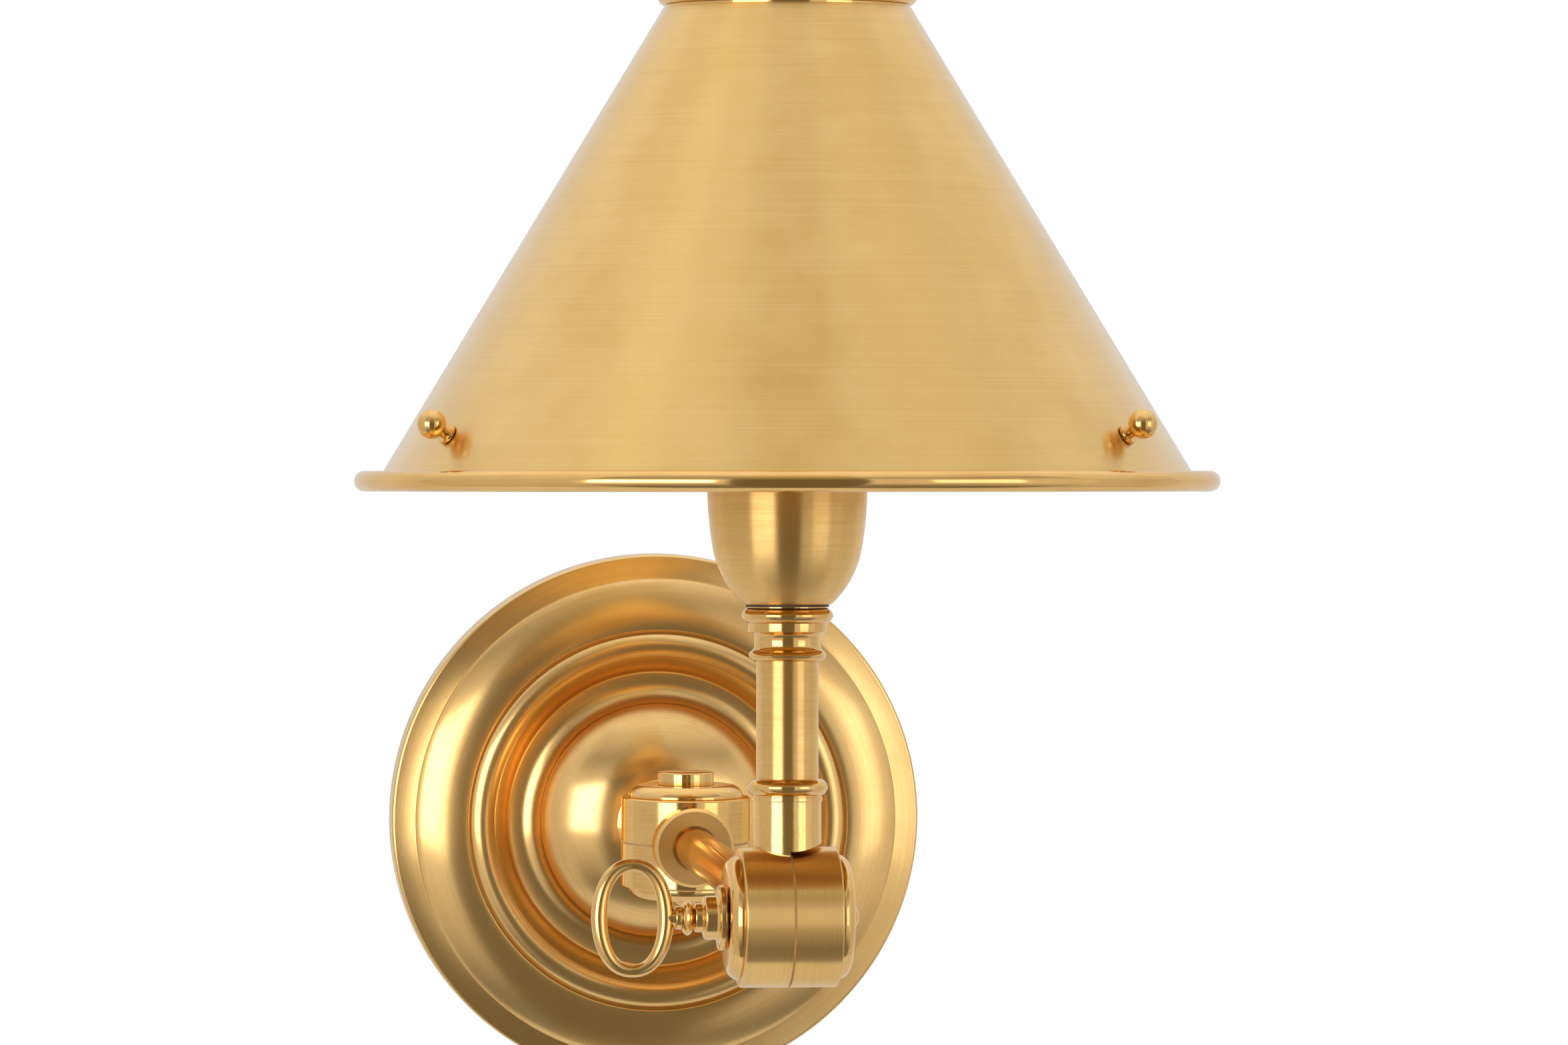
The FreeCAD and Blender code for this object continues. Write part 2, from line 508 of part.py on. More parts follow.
def pivot_hardware():
    """Caps, friction washers, pivot screw, and the nuts that close both pivots."""
    cap = cap_points(PIVOT_HOLE)
    washer = rectangle("chamber_outer_radius + friction_washer_inset", "knuckle_radius - friction_washer_inset",
                       "-seam_gap / 2", "seam_gap / 2")
    nut = [
        (TIP_HOLE, CAP_TOP), ("dome_nut_radius", CAP_TOP),
        ("dome_nut_radius", f"{CAP_TOP} + dome_nut_skirt"),
        ("0", f"{CAP_TOP} + dome_nut_skirt + dome_nut_rise",
         "((dome_nut_radius ^ 2 + dome_nut_rise ^ 2) / (2 * dome_nut_rise))"),
        ("0", f"{TIP_END} + running_clearance"), (TIP_HOLE, f"{TIP_END} + running_clearance"),
    ]
    turned("rear_top_cap", SWING, cap)
    turned("rear_bottom_cap", SWING, flipped(cap))
    turned("rear_friction_washer", SWING, washer)
    turned("front_friction_washer", TILT, about_x(washer), axis="H_Axis")
    turned("front_right_cap", TILT, about_x(cap), axis="H_Axis")
    turned("front_left_cap", HEAD, about_x(flipped(cap)), axis="H_Axis")
    turned("rear_pivot_screw", SWING, [
        ("0", f"-{TIP_END}"), ("tip_radius", f"-{TIP_END}"), ("tip_radius", f"-{CAP_TOP} + running_clearance"),
        ("pivot_radius", f"-{CAP_TOP} + running_clearance"), ("pivot_radius", CAP_TOP),
        ("button_radius", CAP_TOP), ("button_radius", f"{CAP_TOP} + button_height - button_round"),
        ("button_radius - button_round", f"{CAP_TOP} + button_height", "button_round"),
        ("0", f"{CAP_TOP} + button_height"),
    ])
    turned("rear_pivot_nut", SWING, flipped(nut))
    turned("front_pivot_nut", TILT, about_x(nut), axis="H_Axis")


def arm():
    """Straight tube between the two knuckles."""
    turned("arm_rod", WALL, rectangle(
        "rod_bore_radius", "rod_radius", f"-wall_to_swing - arm_length + {ROD_SEAT}",
        f"-wall_to_swing - {ROD_SEAT}"), plane="XY_Plane")


# ---------------------------------------------------------------- stem
BEAD_FOOT = "(stem_boss_top + fillet_ring_height + bead_fillet)"
RING_TOP = f"({BEAD_FOOT} + stem_bead_height)"
TUBE_BOTTOM = f"({RING_TOP} - stem_seat)"
TUBE_TOP = f"({RING_TOP} + stem_length)"
NECK_BOTTOM = f"({TUBE_TOP} + small_bead_height)"
STEP_BOTTOM = f"({NECK_BOTTOM} + neck_groove_height)"
TOP_BEAD = f"({STEP_BOTTOM} + fillet_step_height)"
CAPITAL_TOP = f"({TOP_BEAD} + top_bead_height + capital_land)"
CUP_BOTTOM = f"({CAPITAL_TOP} + cup_washer_height)"
STACK_HOLE = "(pipe_radius + loose_clearance)"


def stem():
    """Turned rings, satin tube and capital, held together by a threaded pipe."""
    turned("stem_ring", HEAD, [
        (STACK_HOLE, "stem_boss_top"), ("fillet_ring_radius", "stem_boss_top"),
        ("fillet_ring_radius", "stem_boss_top + fillet_ring_height"),
        ("stem_boss_radius", "stem_boss_top + fillet_ring_height"), ("stem_boss_radius", BEAD_FOOT),
        ("stem_bead_radius", f"{BEAD_FOOT} + stem_bead_height / 2", "bead_bend_ratio * stem_bead_height"),
        ("stem_boss_radius", RING_TOP, "bead_bend_ratio * stem_bead_height"),
        ("stem_radius", RING_TOP), ("stem_radius", TUBE_BOTTOM), (STACK_HOLE, TUBE_BOTTOM),
    ])
    turned("stem_tube", HEAD, rectangle("stem_bore_radius", "stem_radius", TUBE_BOTTOM, TUBE_TOP))
    turned("stem_capital", HEAD, [
        (STACK_HOLE, TUBE_TOP), ("stem_radius + bead_fillet", TUBE_TOP),
        ("small_bead_radius", f"{TUBE_TOP} + small_bead_height / 2", "bead_bend_ratio * small_bead_height"),
        ("neck_groove_radius", NECK_BOTTOM, "bead_bend_ratio * small_bead_height"),
        ("neck_groove_radius", f"{STEP_BOTTOM} - bead_fillet"),
        ("fillet_step_radius", STEP_BOTTOM), ("fillet_step_radius", TOP_BEAD),
        ("top_bead_radius", f"{TOP_BEAD} + top_bead_height / 2", "bead_bend_ratio * top_bead_height"),
        ("fillet_step_radius", f"{TOP_BEAD} + top_bead_height", "bead_bend_ratio * top_bead_height"),
        ("fillet_step_radius", CAPITAL_TOP), (STACK_HOLE, CAPITAL_TOP),
    ])
    turned("cup_washer", HEAD, rectangle(STACK_HOLE, "cup_washer_radius", CAPITAL_TOP, CUP_BOTTOM))
    turned("stem_pipe", HEAD, rectangle("pipe_bore_radius", "pipe_radius", PIPE_SEAT, PIPE_END))
    seat = FreeCAD.Placement(FreeCAD.Vector(0, 0, value(f"{CUP_BOTTOM} + cup_wall")), FreeCAD.Rotation())
    hex_nut("cup_nut", HEAD * seat)


# ---------------------------------------------------------------- cup and lamp socket
CUP_TOP = f"({CUP_BOTTOM} + cup_height)"
SOCKET_BOTTOM = f"({CUP_BOTTOM} + socket_start)"
FLANGE_TOP = f"({CUP_TOP} + socket_flange_height)"
SOCKET_TOP = f"({FLANGE_TOP} + socket_neck_height)"
SHELL_BOTTOM = f"({SOCKET_TOP} - shell_length)"
PIPE_END = f"({SOCKET_BOTTOM} + stem_pipe_grip)"


def cup():
    """Bell-shaped cup of one wall thickness."""
    turned("socket_cup", HEAD, [
        (STACK_HOLE, CUP_BOTTOM), ("cup_foot_radius", CUP_BOTTOM),
        ("cup_knee_radius", f"{CUP_BOTTOM} + cup_knee_height", "cup_knee_bend"),
        ("cup_radius", f"{CUP_BOTTOM} + cup_round_height", "cup_side_bend"),
        ("cup_radius", CUP_TOP), ("cup_radius - cup_wall", CUP_TOP),
        ("cup_radius - cup_wall", f"{CUP_BOTTOM} + cup_round_height"),
        ("cup_knee_radius - cup_wall", f"{CUP_BOTTOM} + cup_knee_height + 0.2 * cup_wall",
         "-(cup_side_bend - cup_wall)"),
        ("cup_foot_radius - 0.4 * cup_wall", f"{CUP_BOTTOM} + cup_wall", "-(cup_knee_bend - cup_wall)"),
        (STACK_HOLE, f"{CUP_BOTTOM} + cup_wall"),
    ])


def lamp_socket():
    """Moulded body with a threaded neck, its screw shell and the centre contact."""
    cavity = "(shell_radius + shell_wall)"
    floor = f"({SHELL_BOTTOM} - contact_height - contact_gap)"
    turned("socket_body", HEAD, [
        ("pipe_radius", SOCKET_BOTTOM), ("socket_foot_radius", SOCKET_BOTTOM),
        ("socket_radius", f"{SOCKET_BOTTOM} + socket_foot_height"), ("socket_radius", CUP_TOP),
        ("cup_radius - cup_wall / 2", CUP_TOP), ("cup_radius - cup_wall / 2", FLANGE_TOP),
        ("socket_neck_radius", FLANGE_TOP), ("socket_neck_radius", SOCKET_TOP),
        (cavity, SOCKET_TOP), (cavity, SHELL_BOTTOM),
        ("socket_floor_radius", SHELL_BOTTOM), ("socket_floor_radius", floor),
        ("pipe_bore_radius", floor), ("pipe_bore_radius", PIPE_END), ("pipe_radius", PIPE_END),
    ])
    turned("socket_screw_shell", HEAD, rectangle("shell_radius", cavity, SHELL_BOTTOM, SOCKET_TOP))
    turned("socket_contact", HEAD, [
        ("0", floor), ("contact_radius", floor), ("contact_radius", f"{floor} + contact_height / 2"),
        ("contact_radius / 2", f"{floor} + contact_height"), ("0", f"{floor} + contact_height")])


# ---------------------------------------------------------------- shade
RIM_HEIGHT = f"({FLANGE_TOP} - rim_drop)"
SHADE_BOTTOM = f"({RIM_HEIGHT} + rim_thickness / 2)"
SHADE_TOP = f"({SHADE_BOTTOM} + shade_height)"
SHADE_RADIUS = "(rim_radius - shade_inset)"
SLANT = f"atan(({SHADE_RADIUS} - shade_top_radius) / shade_height)"
WALL_ACROSS = f"(shade_wall / cos({SLANT}))"
SCREW_BASE = f"({SHADE_BOTTOM} + screw_height)"
SCREW_BASE_RADIUS = f"({SHADE_RADIUS} - screw_height * tan({SLANT}))"


def screw_place(turn_angle):
    """Place on the shade's outer face whose z axis stands square to the sheet."""
    spin = FreeCAD.Placement(FreeCAD.Vector(), FreeCAD.Rotation(Z_AXIS, turn_angle))
    base = FreeCAD.Vector(value(SCREW_BASE_RADIUS), 0, value(SCREW_BASE))
    lean = FreeCAD.Rotation(Y_AXIS, 90 - value(SLANT))
    return spin * FreeCAD.Placement(base, lean)


def repeat_three(body, feature):
    """Repeat a feature three times round the shade's axis."""
    pattern = body.newObject("PartDesign::PolarPattern", f"{feature.Name}_three")
    pattern.Originals = [feature]
    axis = [item for item in body.Origin.OriginFeatures if item.Role == "Z_Axis"][0]
    pattern.Axis = (axis, [""])
    pattern.Angle = 360
    pattern.Occurrences = 3
    body.Tip = pattern
    doc.recompute()
    return pattern


def screw_drill(body, radius):
    """Hole along the first shade screw's axis, repeated three times."""
    drill = body.newObject("PartDesign::SubtractiveCylinder", f"{body.Name}_drill")
    drill.setExpression("Radius", bound(radius))
    drill.setExpression("Height", bound("4 * ball_stand"))
    back = FreeCAD.Placement(FreeCAD.Vector(0, 0, -2 * value("ball_stand")), FreeCAD.Rotation())
    drill.Placement = screw_place(0) * back
    doc.recompute()
    return repeat_three(body, drill)


# One screw stands each side of the front, which lies at 270 degrees, and the third is at the back.
FIRST_SCREW = 210 - value("carrier_turn_angle")
SHADE_TURN = FreeCAD.Placement(FreeCAD.Vector(), FreeCAD.Rotation(Z_AXIS, FIRST_SCREW))


def shade():
    """Conical sheet with its rolled rim ring and its stepped top ring."""
    cone = turned("shade_cone", HEAD * SHADE_TURN, [
        (f"{SHADE_RADIUS} - {WALL_ACROSS}", SHADE_BOTTOM), (SHADE_RADIUS, SHADE_BOTTOM),
        ("shade_top_radius", SHADE_TOP), (f"shade_top_radius - {WALL_ACROSS}", SHADE_TOP)])
    cut_volume(cone, screw_drill, cone, "screw_radius + screw_hole_gap")
    half = "rim_thickness / 2"
    turned("shade_rim_ring", HEAD, [
        ("rim_radius - rim_width", f"{RIM_HEIGHT} - {half}"),
        (f"rim_radius - {half}", f"{RIM_HEIGHT} - {half}"),
        ("rim_radius", RIM_HEIGHT, half), (f"rim_radius - {half}", f"{RIM_HEIGHT} + {half}", half),
        ("rim_radius - rim_width", f"{RIM_HEIGHT} + {half}")])
    lip = f"({SHADE_TOP} + top_ring_lip)"
    bead = f"({lip} + top_ring_neck_height)"
    top = f"({bead} + top_ring_bead_height)"
    lip_radius = "(shade_top_radius + top_ring_overhang)"
    lip_flat = f"({lip_radius} - top_ring_lip / 3)"
    neck_radius = "(shade_top_radius - top_ring_neck_inset)"
    vent_radius = "(shade_top_radius - vent_inset)"
    turned("shade_top_ring", HEAD, [
        (vent_radius, SHADE_TOP), (lip_flat, SHADE_TOP),
        (lip_radius, f"{SHADE_TOP} + top_ring_lip / 2", "bead_bend_ratio * top_ring_lip"),
        (lip_flat, lip, "bead_bend_ratio * top_ring_lip"), (neck_radius, lip), (neck_radius, bead),
        (f"{neck_radius} + top_ring_bead_rise", f"({bead} + {top}) / 2",
         "bead_bend_ratio * top_ring_bead_height"),
        (neck_radius, top, "bead_bend_ratio * top_ring_bead_height"), (vent_radius, top)])


def carrier():
    """Ring with three arms whose bent pads take the shade's screws."""
    body = new_body("shade_carrier")
    hole = "(socket_neck_radius + loose_clearance)"
    ring = outline(body, "XZ_Plane", "carrier_ring", rectangle(
        hole, "carrier_ring_radius", FLANGE_TOP, f"{FLANGE_TOP} + carrier_thickness"))
    turn(body, "Revolution", ring, "V_Axis")
    # The pad's outer face runs down the inside of the shade, centred on the screw's axis.
    reach = f"({SCREW_BASE_RADIUS} - (shade_wall + pad_gap) * cos({SLANT}))"
    level = f"({SCREW_BASE} - (shade_wall + pad_gap) * sin({SLANT}))"
    low_across = f"({reach} + pad_length / 2 * sin({SLANT}))"
    low_along = f"({level} - pad_length / 2 * cos({SLANT}))"
    high_across = f"({reach} - pad_length / 2 * sin({SLANT}))"
    high_along = f"({level} + pad_length / 2 * cos({SLANT}))"
    inward = f"carrier_thickness * cos({SLANT})"
    drop = f"carrier_thickness * sin({SLANT})"
    arm_low, arm_high = FLANGE_TOP, f"({FLANGE_TOP} + carrier_thickness)"
    back_at = (f"({low_across} - {inward} - ({{level}} - ({low_along} - {drop})) * tan({SLANT}))")
    side = outline(body, "XZ_Plane", "carrier_arm", [
        ("carrier_ring_radius - cut_overlap", arm_low), (back_at.format(level=arm_low), arm_low),
        (f"{low_across} - {inward}", f"{low_along} - {drop}"), (low_across, low_along),
        (high_across, high_along), (f"{high_across} - {inward}", f"{high_along} - {drop}"),
        (back_at.format(level=arm_high), arm_high), ("carrier_ring_radius - cut_overlap", arm_high)])
    strip = extrude(body, "Pad", side, "carrier_arm_width", both=True)
    repeat_three(body, strip)
    cut_volume(body, screw_drill, body, "screw_radius + running_clearance")
    body.Placement = HEAD * SHADE_TURN
    turned("carrier_ring_nut", HEAD, rectangle(
        "socket_neck_radius", "carrier_nut_radius", f"{FLANGE_TOP} + carrier_thickness",
        f"{FLANGE_TOP} + carrier_thickness + carrier_nut_height"))


def shade_screws():
    """Three ball-headed screws that stand square to the shade."""
    collar_top = "(screw_collar_gap + screw_collar_height)"
    ball_foot = "(ball_stand - sqrt(ball_radius ^ 2 - screw_neck_radius ^ 2))"
    for name, turn_angle in (("left", 0), ("right", 120), ("back", 240)):
        turned(f"shade_screw_{name}", HEAD * SHADE_TURN * screw_place(turn_angle), [
            ("0", "-screw_tail"), ("screw_radius", "-screw_tail"), ("screw_radius", "screw_collar_gap"),
            ("screw_collar_radius", "screw_collar_gap"), ("screw_collar_radius", collar_top),
            ("screw_neck_radius", collar_top), ("screw_neck_radius", ball_foot),
            ("ball_radius", "ball_stand", "ball_radius"),
            ("0", "ball_stand + ball_radius", "ball_radius")])


# ---------------------------------------------------------------- thumb key
def key():
    """Oval loop on a turned baluster, and the stud that runs through both halves."""
    flange = f"(-{CAP_TOP} - key_gap)"
    step = f"({flange} - key_flange_height)"
    ledge = f"({step} - key_step_height)"
    waist = f"({ledge} - key_waist_height)"
    bead = f"({flange} - key_bead_centre)"
    collar = f"({flange} - key_collar_end)"
    tail = f"({collar} - key_tail_length)"
    body = new_body("thumb_key")
    outer = [
        (flange, "pivot_radius"), (flange, "key_flange_radius"), (step, "key_flange_radius"),
        (f"{step} - key_fillet", "key_step_radius"), (ledge, "key_step_radius"),
        (f"{ledge} - key_fillet", "key_waist_radius"), (waist, "key_waist_radius"),
        (f"{bead} + key_bead_half", "key_neck_radius"),
        (bead, "key_bead_radius", "key_bead_bend"),
        (f"{bead} - key_bead_half", "key_neck_radius", "key_bead_bend"),
        (f"{flange} - key_collar_start", "key_neck_radius"),
        (f"{flange} - key_collar_start", "key_collar_radius"), (collar, "key_collar_radius"),
        (collar, "key_neck_radius"), (tail, "key_neck_radius"), (tail, "0"),
        (f"{flange} - key_stud_grip", "0"), (f"{flange} - key_stud_grip", "pivot_radius"),
    ]
    turn(body, "Revolution", outline(body, "XZ_Plane", "key_baluster", outer), "H_Axis")
    # The oval is four tangent arcs, drawn from its top and clockwise.
    middle = f"({tail} - key_bow_sink - key_bow_half_width)"
    rise = "(key_bow_half_height - key_bow_end_bend)"
    side_bend = (f"((key_bow_half_width ^ 2 + {rise} ^ 2 - key_bow_end_bend ^ 2)"
                 " / (2 * (key_bow_half_width - key_bow_end_bend)))")
    across = f"(key_bow_end_bend * ({side_bend} - key_bow_half_width) / ({side_bend} - key_bow_end_bend))"
    along = f"({rise} + key_bow_end_bend * {rise} / ({side_bend} - key_bow_end_bend))"
    path = outline(body, "XZ_Plane", "key_bow_path", [
        (f"{middle} + {across}", along, "-key_bow_end_bend"),
        (f"{middle} + {across}", f"-{along}", f"-{side_bend}"),
        (f"{middle} - {across}", f"-{along}", "-key_bow_end_bend"),
        (f"{middle} - {across}", along, f"-{side_bend}"),
        (middle, "key_bow_half_height", "-key_bow_end_bend")])
    section = circles(body, "YZ_Plane", "key_bow_section",
                      [("0", "key_bow_half_height", "key_bow_wire_radius")])
    section.AttachmentOffset = FreeCAD.Placement(FreeCAD.Vector(0, 0, value(middle)), FreeCAD.Rotation())
    doc.recompute()
    bow = body.newObject("PartDesign::AdditivePipe", "key_bow")
    bow.Profile = section
    bow.Spine = (path, [f"Edge{number}" for number in range(1, 6)])
    doc.recompute()
    body.Placement = HEAD
    turned("key_stud", HEAD, about_x([
        ("0", f"{flange} - key_stud_grip"), ("pivot_radius", f"{flange} - key_stud_grip"),
        ("pivot_radius", f"{CAP_TOP} - running_clearance"), ("tip_radius", f"{CAP_TOP} - running_clearance"),
        ("tip_radius", TIP_END), ("0", TIP_END)]), axis="H_Axis")


rosette()
wall_bracket()
wall_hardware()
rear_knuckle()
front_knuckle()
pivot_hardware()
arm()
stem()
cup()
lamp_socket()
shade()
carrier()
shade_screws()
key()
doc.recompute()

problems = [f"{item.Label}: {item.State}" for item in doc.Objects
            if "Invalid" in item.State or "Error" in item.State]
problems += [f"{part.Label}: bad shape" for part in parts if part.Shape.isNull() or not part.Shape.isValid()]
problems += [f"{part.Label}: {len(part.Shape.Solids)} solids" for part in parts
             if len(part.Shape.Solids) != (2 if part.TypeId == "Part::Compound" else 1)]
if problems:
    raise RuntimeError("; ".join(problems))
os.makedirs("parts", exist_ok=True)
for part in parts:
    part.Shape.exportStep(f"parts/{part.Label}.step")
print(f"{len(parts)} parts written")
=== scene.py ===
"""Adjustable brass wall light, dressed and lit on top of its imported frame.

Lengths in the fields of the light's pieces and of the camera are millimetres in the frame of the part:
the wall is the plane y = 0, +z is up and the room lies towards -y. Meshes are made in metres, and the
lamps, panels and floor of the studio are given in metres. Fields named angle are in degrees, and
fields named walls count thicknesses of the sheet.
"""

import logging
import math
from dataclasses import dataclass, replace
from enum import Enum

import bpy
from bpy.types import Material, Node, NodeSocket, NodeTree, Object
from mathutils import Matrix, Vector


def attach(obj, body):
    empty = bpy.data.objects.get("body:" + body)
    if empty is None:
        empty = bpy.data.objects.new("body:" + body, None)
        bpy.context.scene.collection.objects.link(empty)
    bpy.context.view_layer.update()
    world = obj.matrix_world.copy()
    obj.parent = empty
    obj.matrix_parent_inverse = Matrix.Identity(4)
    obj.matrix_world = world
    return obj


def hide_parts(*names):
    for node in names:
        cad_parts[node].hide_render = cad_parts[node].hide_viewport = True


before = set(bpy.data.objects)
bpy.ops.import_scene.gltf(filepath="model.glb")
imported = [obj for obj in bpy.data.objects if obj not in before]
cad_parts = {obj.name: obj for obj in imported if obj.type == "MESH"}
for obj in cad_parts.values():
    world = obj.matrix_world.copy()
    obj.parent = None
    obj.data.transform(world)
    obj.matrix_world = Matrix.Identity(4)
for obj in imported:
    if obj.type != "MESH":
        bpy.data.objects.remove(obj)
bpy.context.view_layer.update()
LOG = logging.getLogger("wall_light")
MM = 0.001
VERTEX_REACH = 0.001 * MM
GRAIN_DEPTH = 0.05 * MM
# Edges sharper than this angle in degrees stay sharp.
SOFT_ANGLE = 32.0
# Radius of a bead's arcs over the bead's height.
BEAD_BEND = 0.62
# Quarter turn of the anisotropic highlight, which lays it across the lathe's rings.
ACROSS_THE_RINGS = 0.25
WHITE = (1.0, 1.0, 1.0)
Pair = tuple[float, float]
Triple = tuple[float, float, float]


class Axis(Enum):
    """Line about which a piece was turned on the lathe, and the world axis that it runs along."""

    WALL = "Y"
    SWING = "Z"
    TILT = "X"
    STEM = "z"


class Slot(Enum):
    """Material slots of the record."""

    POLISHED = "polished_brass"
    SATIN = "satin_brass"
    ZINC = "zinc_steel"
    GREEN = "green_screw"
    FIBRE = "dark_fibre"
    PHENOLIC = "black_phenolic"


class Body(Enum):
    """Bodies of the part that move on their own."""

    WALL = "wall"
    ARM = "arm"
    HEAD = "head"
    KEY = "key"
    SCREW_LEFT = "screw_left"
    SCREW_RIGHT = "screw_right"
    SCREW_BACK = "screw_back"


@dataclass(frozen=True)
class Pivots:
    """Where the joints lie and how the turning axes stand at rest."""

    wall_to_swing: float = 70.0
    arm_length: float = 190.0
    head_lean_angle: float = 2.7

    def place(self, axis: Axis) -> Matrix:
        """Frame whose z axis is the turning axis.

        Args:
            axis: the line about which the piece was turned.

        Returns:
            The matrix from that frame to the frame of the part, in metres.
        """
        swing = Matrix.Translation((0.0, -self.wall_to_swing * MM, 0.0))
        tilt = Matrix.Translation((0.0, -(self.wall_to_swing + self.arm_length) * MM, 0.0))
        return {
            Axis.WALL: Matrix.Rotation(math.radians(90), 4, "X"),
            Axis.SWING: swing,
            Axis.TILT: tilt @ Matrix.Rotation(math.radians(90), 4, "Y"),
            Axis.STEM: tilt @ Matrix.Rotation(math.radians(-self.head_lean_angle), 4, "X"),
        }[axis]


PIVOTS = Pivots()


# ---- modelling on the lathe
@dataclass(frozen=True)
class Corner:
    """Corner of a turned outline: distance from the axis and height along it.

    bend is the signed radius of the arc that leads here from the corner before (positive runs
    counter-clockwise), and soften is how far the corner itself is rounded.
    """

    radius: float
    height: float
    bend: float = 0.0
    soften: float = 0.0

    def point(self) -> Vector:
        """The corner in the outline's plane, in metres."""
        return Vector((self.radius, 0.0, self.height)) * MM


def bead(start: float, end: float, crest: float, foot: float, bend: float = 0.0) -> list[Corner]:
    """Two arcs that rise to a crest's radius and fall to a foot's, with BEAD_BEND or a bend as given."""
    bend = bend or BEAD_BEND * (end - start)
    return [Corner(crest, (start + end) / 2, bend), Corner(foot, end, bend)]


def deselect_all() -> None:
    """Leave nothing selected."""
    for item in bpy.context.selected_objects:
        item.select_set(False)


def lone_vertex(name: str) -> Object:
    """Start a piece from a plane merged to one vertex at the origin.

    Args:
        name: name of the new piece and its mesh.

    Returns:
        The piece, in edit mode with its vertex selected.
    """
    deselect_all()
    bpy.ops.mesh.primitive_plane_add(size=MM)
    piece = bpy.context.object
    piece.name = piece.data.name = name
    bpy.ops.object.mode_set(mode="EDIT")
    bpy.ops.mesh.select_mode(type="VERT")
    bpy.ops.mesh.select_all(action="SELECT")
    bpy.ops.mesh.merge(type="CENTER")
    bpy.ops.mesh.select_all(action="SELECT")
    return piece


def spin_all(steps: int, angle: float, axis: tuple[int, int, int] = (0, 0, 1)) -> None:
    """Sweep the whole mesh round an axis through the origin, by an angle in radians."""
    bpy.ops.mesh.select_all(action="SELECT")
    bpy.ops.mesh.spin(steps=steps, angle=angle, center=(0, 0, 0), axis=axis, use_auto_merge=False)


def weld(reach: float) -> None:
    """Merge vertices of the whole mesh that lie within a reach, in millimetres."""
    bpy.ops.mesh.select_all(action="SELECT")
    bpy.ops.mesh.remove_doubles(threshold=reach * MM)


def select_vertices_at(piece: Object, points: list[Vector]) -> None:
    """Select the vertices that lie at the given points.

    Args:
        piece: the object in edit mode.
        points: places in the object's own frame.
    """
    bpy.ops.mesh.select_all(action="DESELECT")
    bpy.ops.object.mode_set(mode="OBJECT")
    for vertex in piece.data.vertices:
        vertex.select = any((vertex.co - point).length < VERTEX_REACH for point in points)
    bpy.ops.object.mode_set(mode="EDIT")


@dataclass(frozen=True)
class Lathe:
    """Turns an outline into a piece."""

    around: int
    arc_step_angle: float = 4.0
    least_arc_steps: int = 4
    shortest_edge: float = 0.4
    soften_steps: int = 3
    outline_weld: float = 1e-4
    ring_weld: float = 1e-3

    def arc(self, start: Corner, end: Corner) -> None:
        """Sweep the selected end of the outline along an arc.

        Args:
            start: corner where the arc begins.
            end: corner where it ends, with its bend.
        """
        first, last = start.point(), end.point()
        chord = last - first
        size = abs(end.bend) * MM
        side = Vector((-chord.z, 0.0, chord.x)).normalized() * math.copysign(1.0, end.bend)
        centre = (first + last) / 2 + side * math.sqrt(max(size**2 - chord.length**2 / 4, 0.0))
        angle = 2 * math.asin(min(chord.length / 2 / size, 1.0))
        finest = math.floor(angle * size / (self.shortest_edge * MM))
        wanted = math.ceil(math.degrees(angle) / self.arc_step_angle)
        steps = max(self.least_arc_steps, min(wanted, finest))
        bpy.ops.mesh.spin(
            steps=steps, angle=math.copysign(angle, end.bend), center=centre, axis=(0, 1, 0),
            use_auto_merge=False, use_normal_flip=False)

    def outline(self, name: str, corners: list[Corner], closed: bool) -> Object:
        """Draw an outline as a chain of edges.

        Args:
            name: name of the new piece.
            corners: corners in order.
            closed: True if the last corner runs back to the first.

        Returns:
            The piece, in edit mode.
        """
        piece = lone_vertex(name)
        bpy.ops.transform.translate(value=corners[0].point())
        run = list(zip(corners, corners[1:])) + ([(corners[-1], corners[0])] if closed else [])
        for start, end in run:
            if end.bend:
                self.arc(start, end)
            else:
                bpy.ops.mesh.extrude_vertices_move(
                    TRANSFORM_OT_translate={"value": end.point() - start.point()})
        weld(self.outline_weld)
        for soften in sorted({corner.soften for corner in corners if corner.soften}):
            select_vertices_at(piece, [corner.point() for corner in corners if corner.soften == soften])
            bpy.ops.mesh.bevel(
                offset=soften * MM, offset_type="OFFSET", segments=self.soften_steps, affect="VERTICES")
        return piece

    def turn(self, name: str, corners: list[Corner], place: Matrix, closed: bool = True) -> Object:
        """Turn an outline about the z axis of a frame.

        Args:
            name: name of the new piece.
            corners: corners of the outline in order.
            place: frame of the turning axis.
            closed: True for a ring, False for an outline whose two ends lie on the axis.

        Returns:
            The finished piece, with its place in its mesh.
        """
        piece = self.outline(name, corners, closed)
        spin_all(self.around, math.tau)
        weld(self.ring_weld)
        bpy.ops.mesh.normals_make_consistent(inside=False)
        bpy.ops.object.mode_set(mode="OBJECT")
        return settle(piece, place)


def settle(piece: Object, place: Matrix) -> Object:
    """Move a piece's mesh to its place and smooth its shading up to SOFT_ANGLE.

    Args:
        piece: the object, in object mode.
        place: frame in which the piece was made.

    Returns:
        The piece, with its object at the origin.
    """
    deselect_all()
    piece.select_set(True)
    bpy.context.view_layer.objects.active = piece
    piece.matrix_world = place
    bpy.ops.object.transform_apply(location=True, rotation=True, scale=True)
    bpy.ops.object.shade_smooth_by_angle(angle=math.radians(SOFT_ANGLE))
    return piece


def mirrored(corners: list[Corner]) -> list[Corner]:
    """The same outline on the other side of height zero."""
    return [Corner(c.radius, -c.height, -c.bend, c.soften) for c in corners]


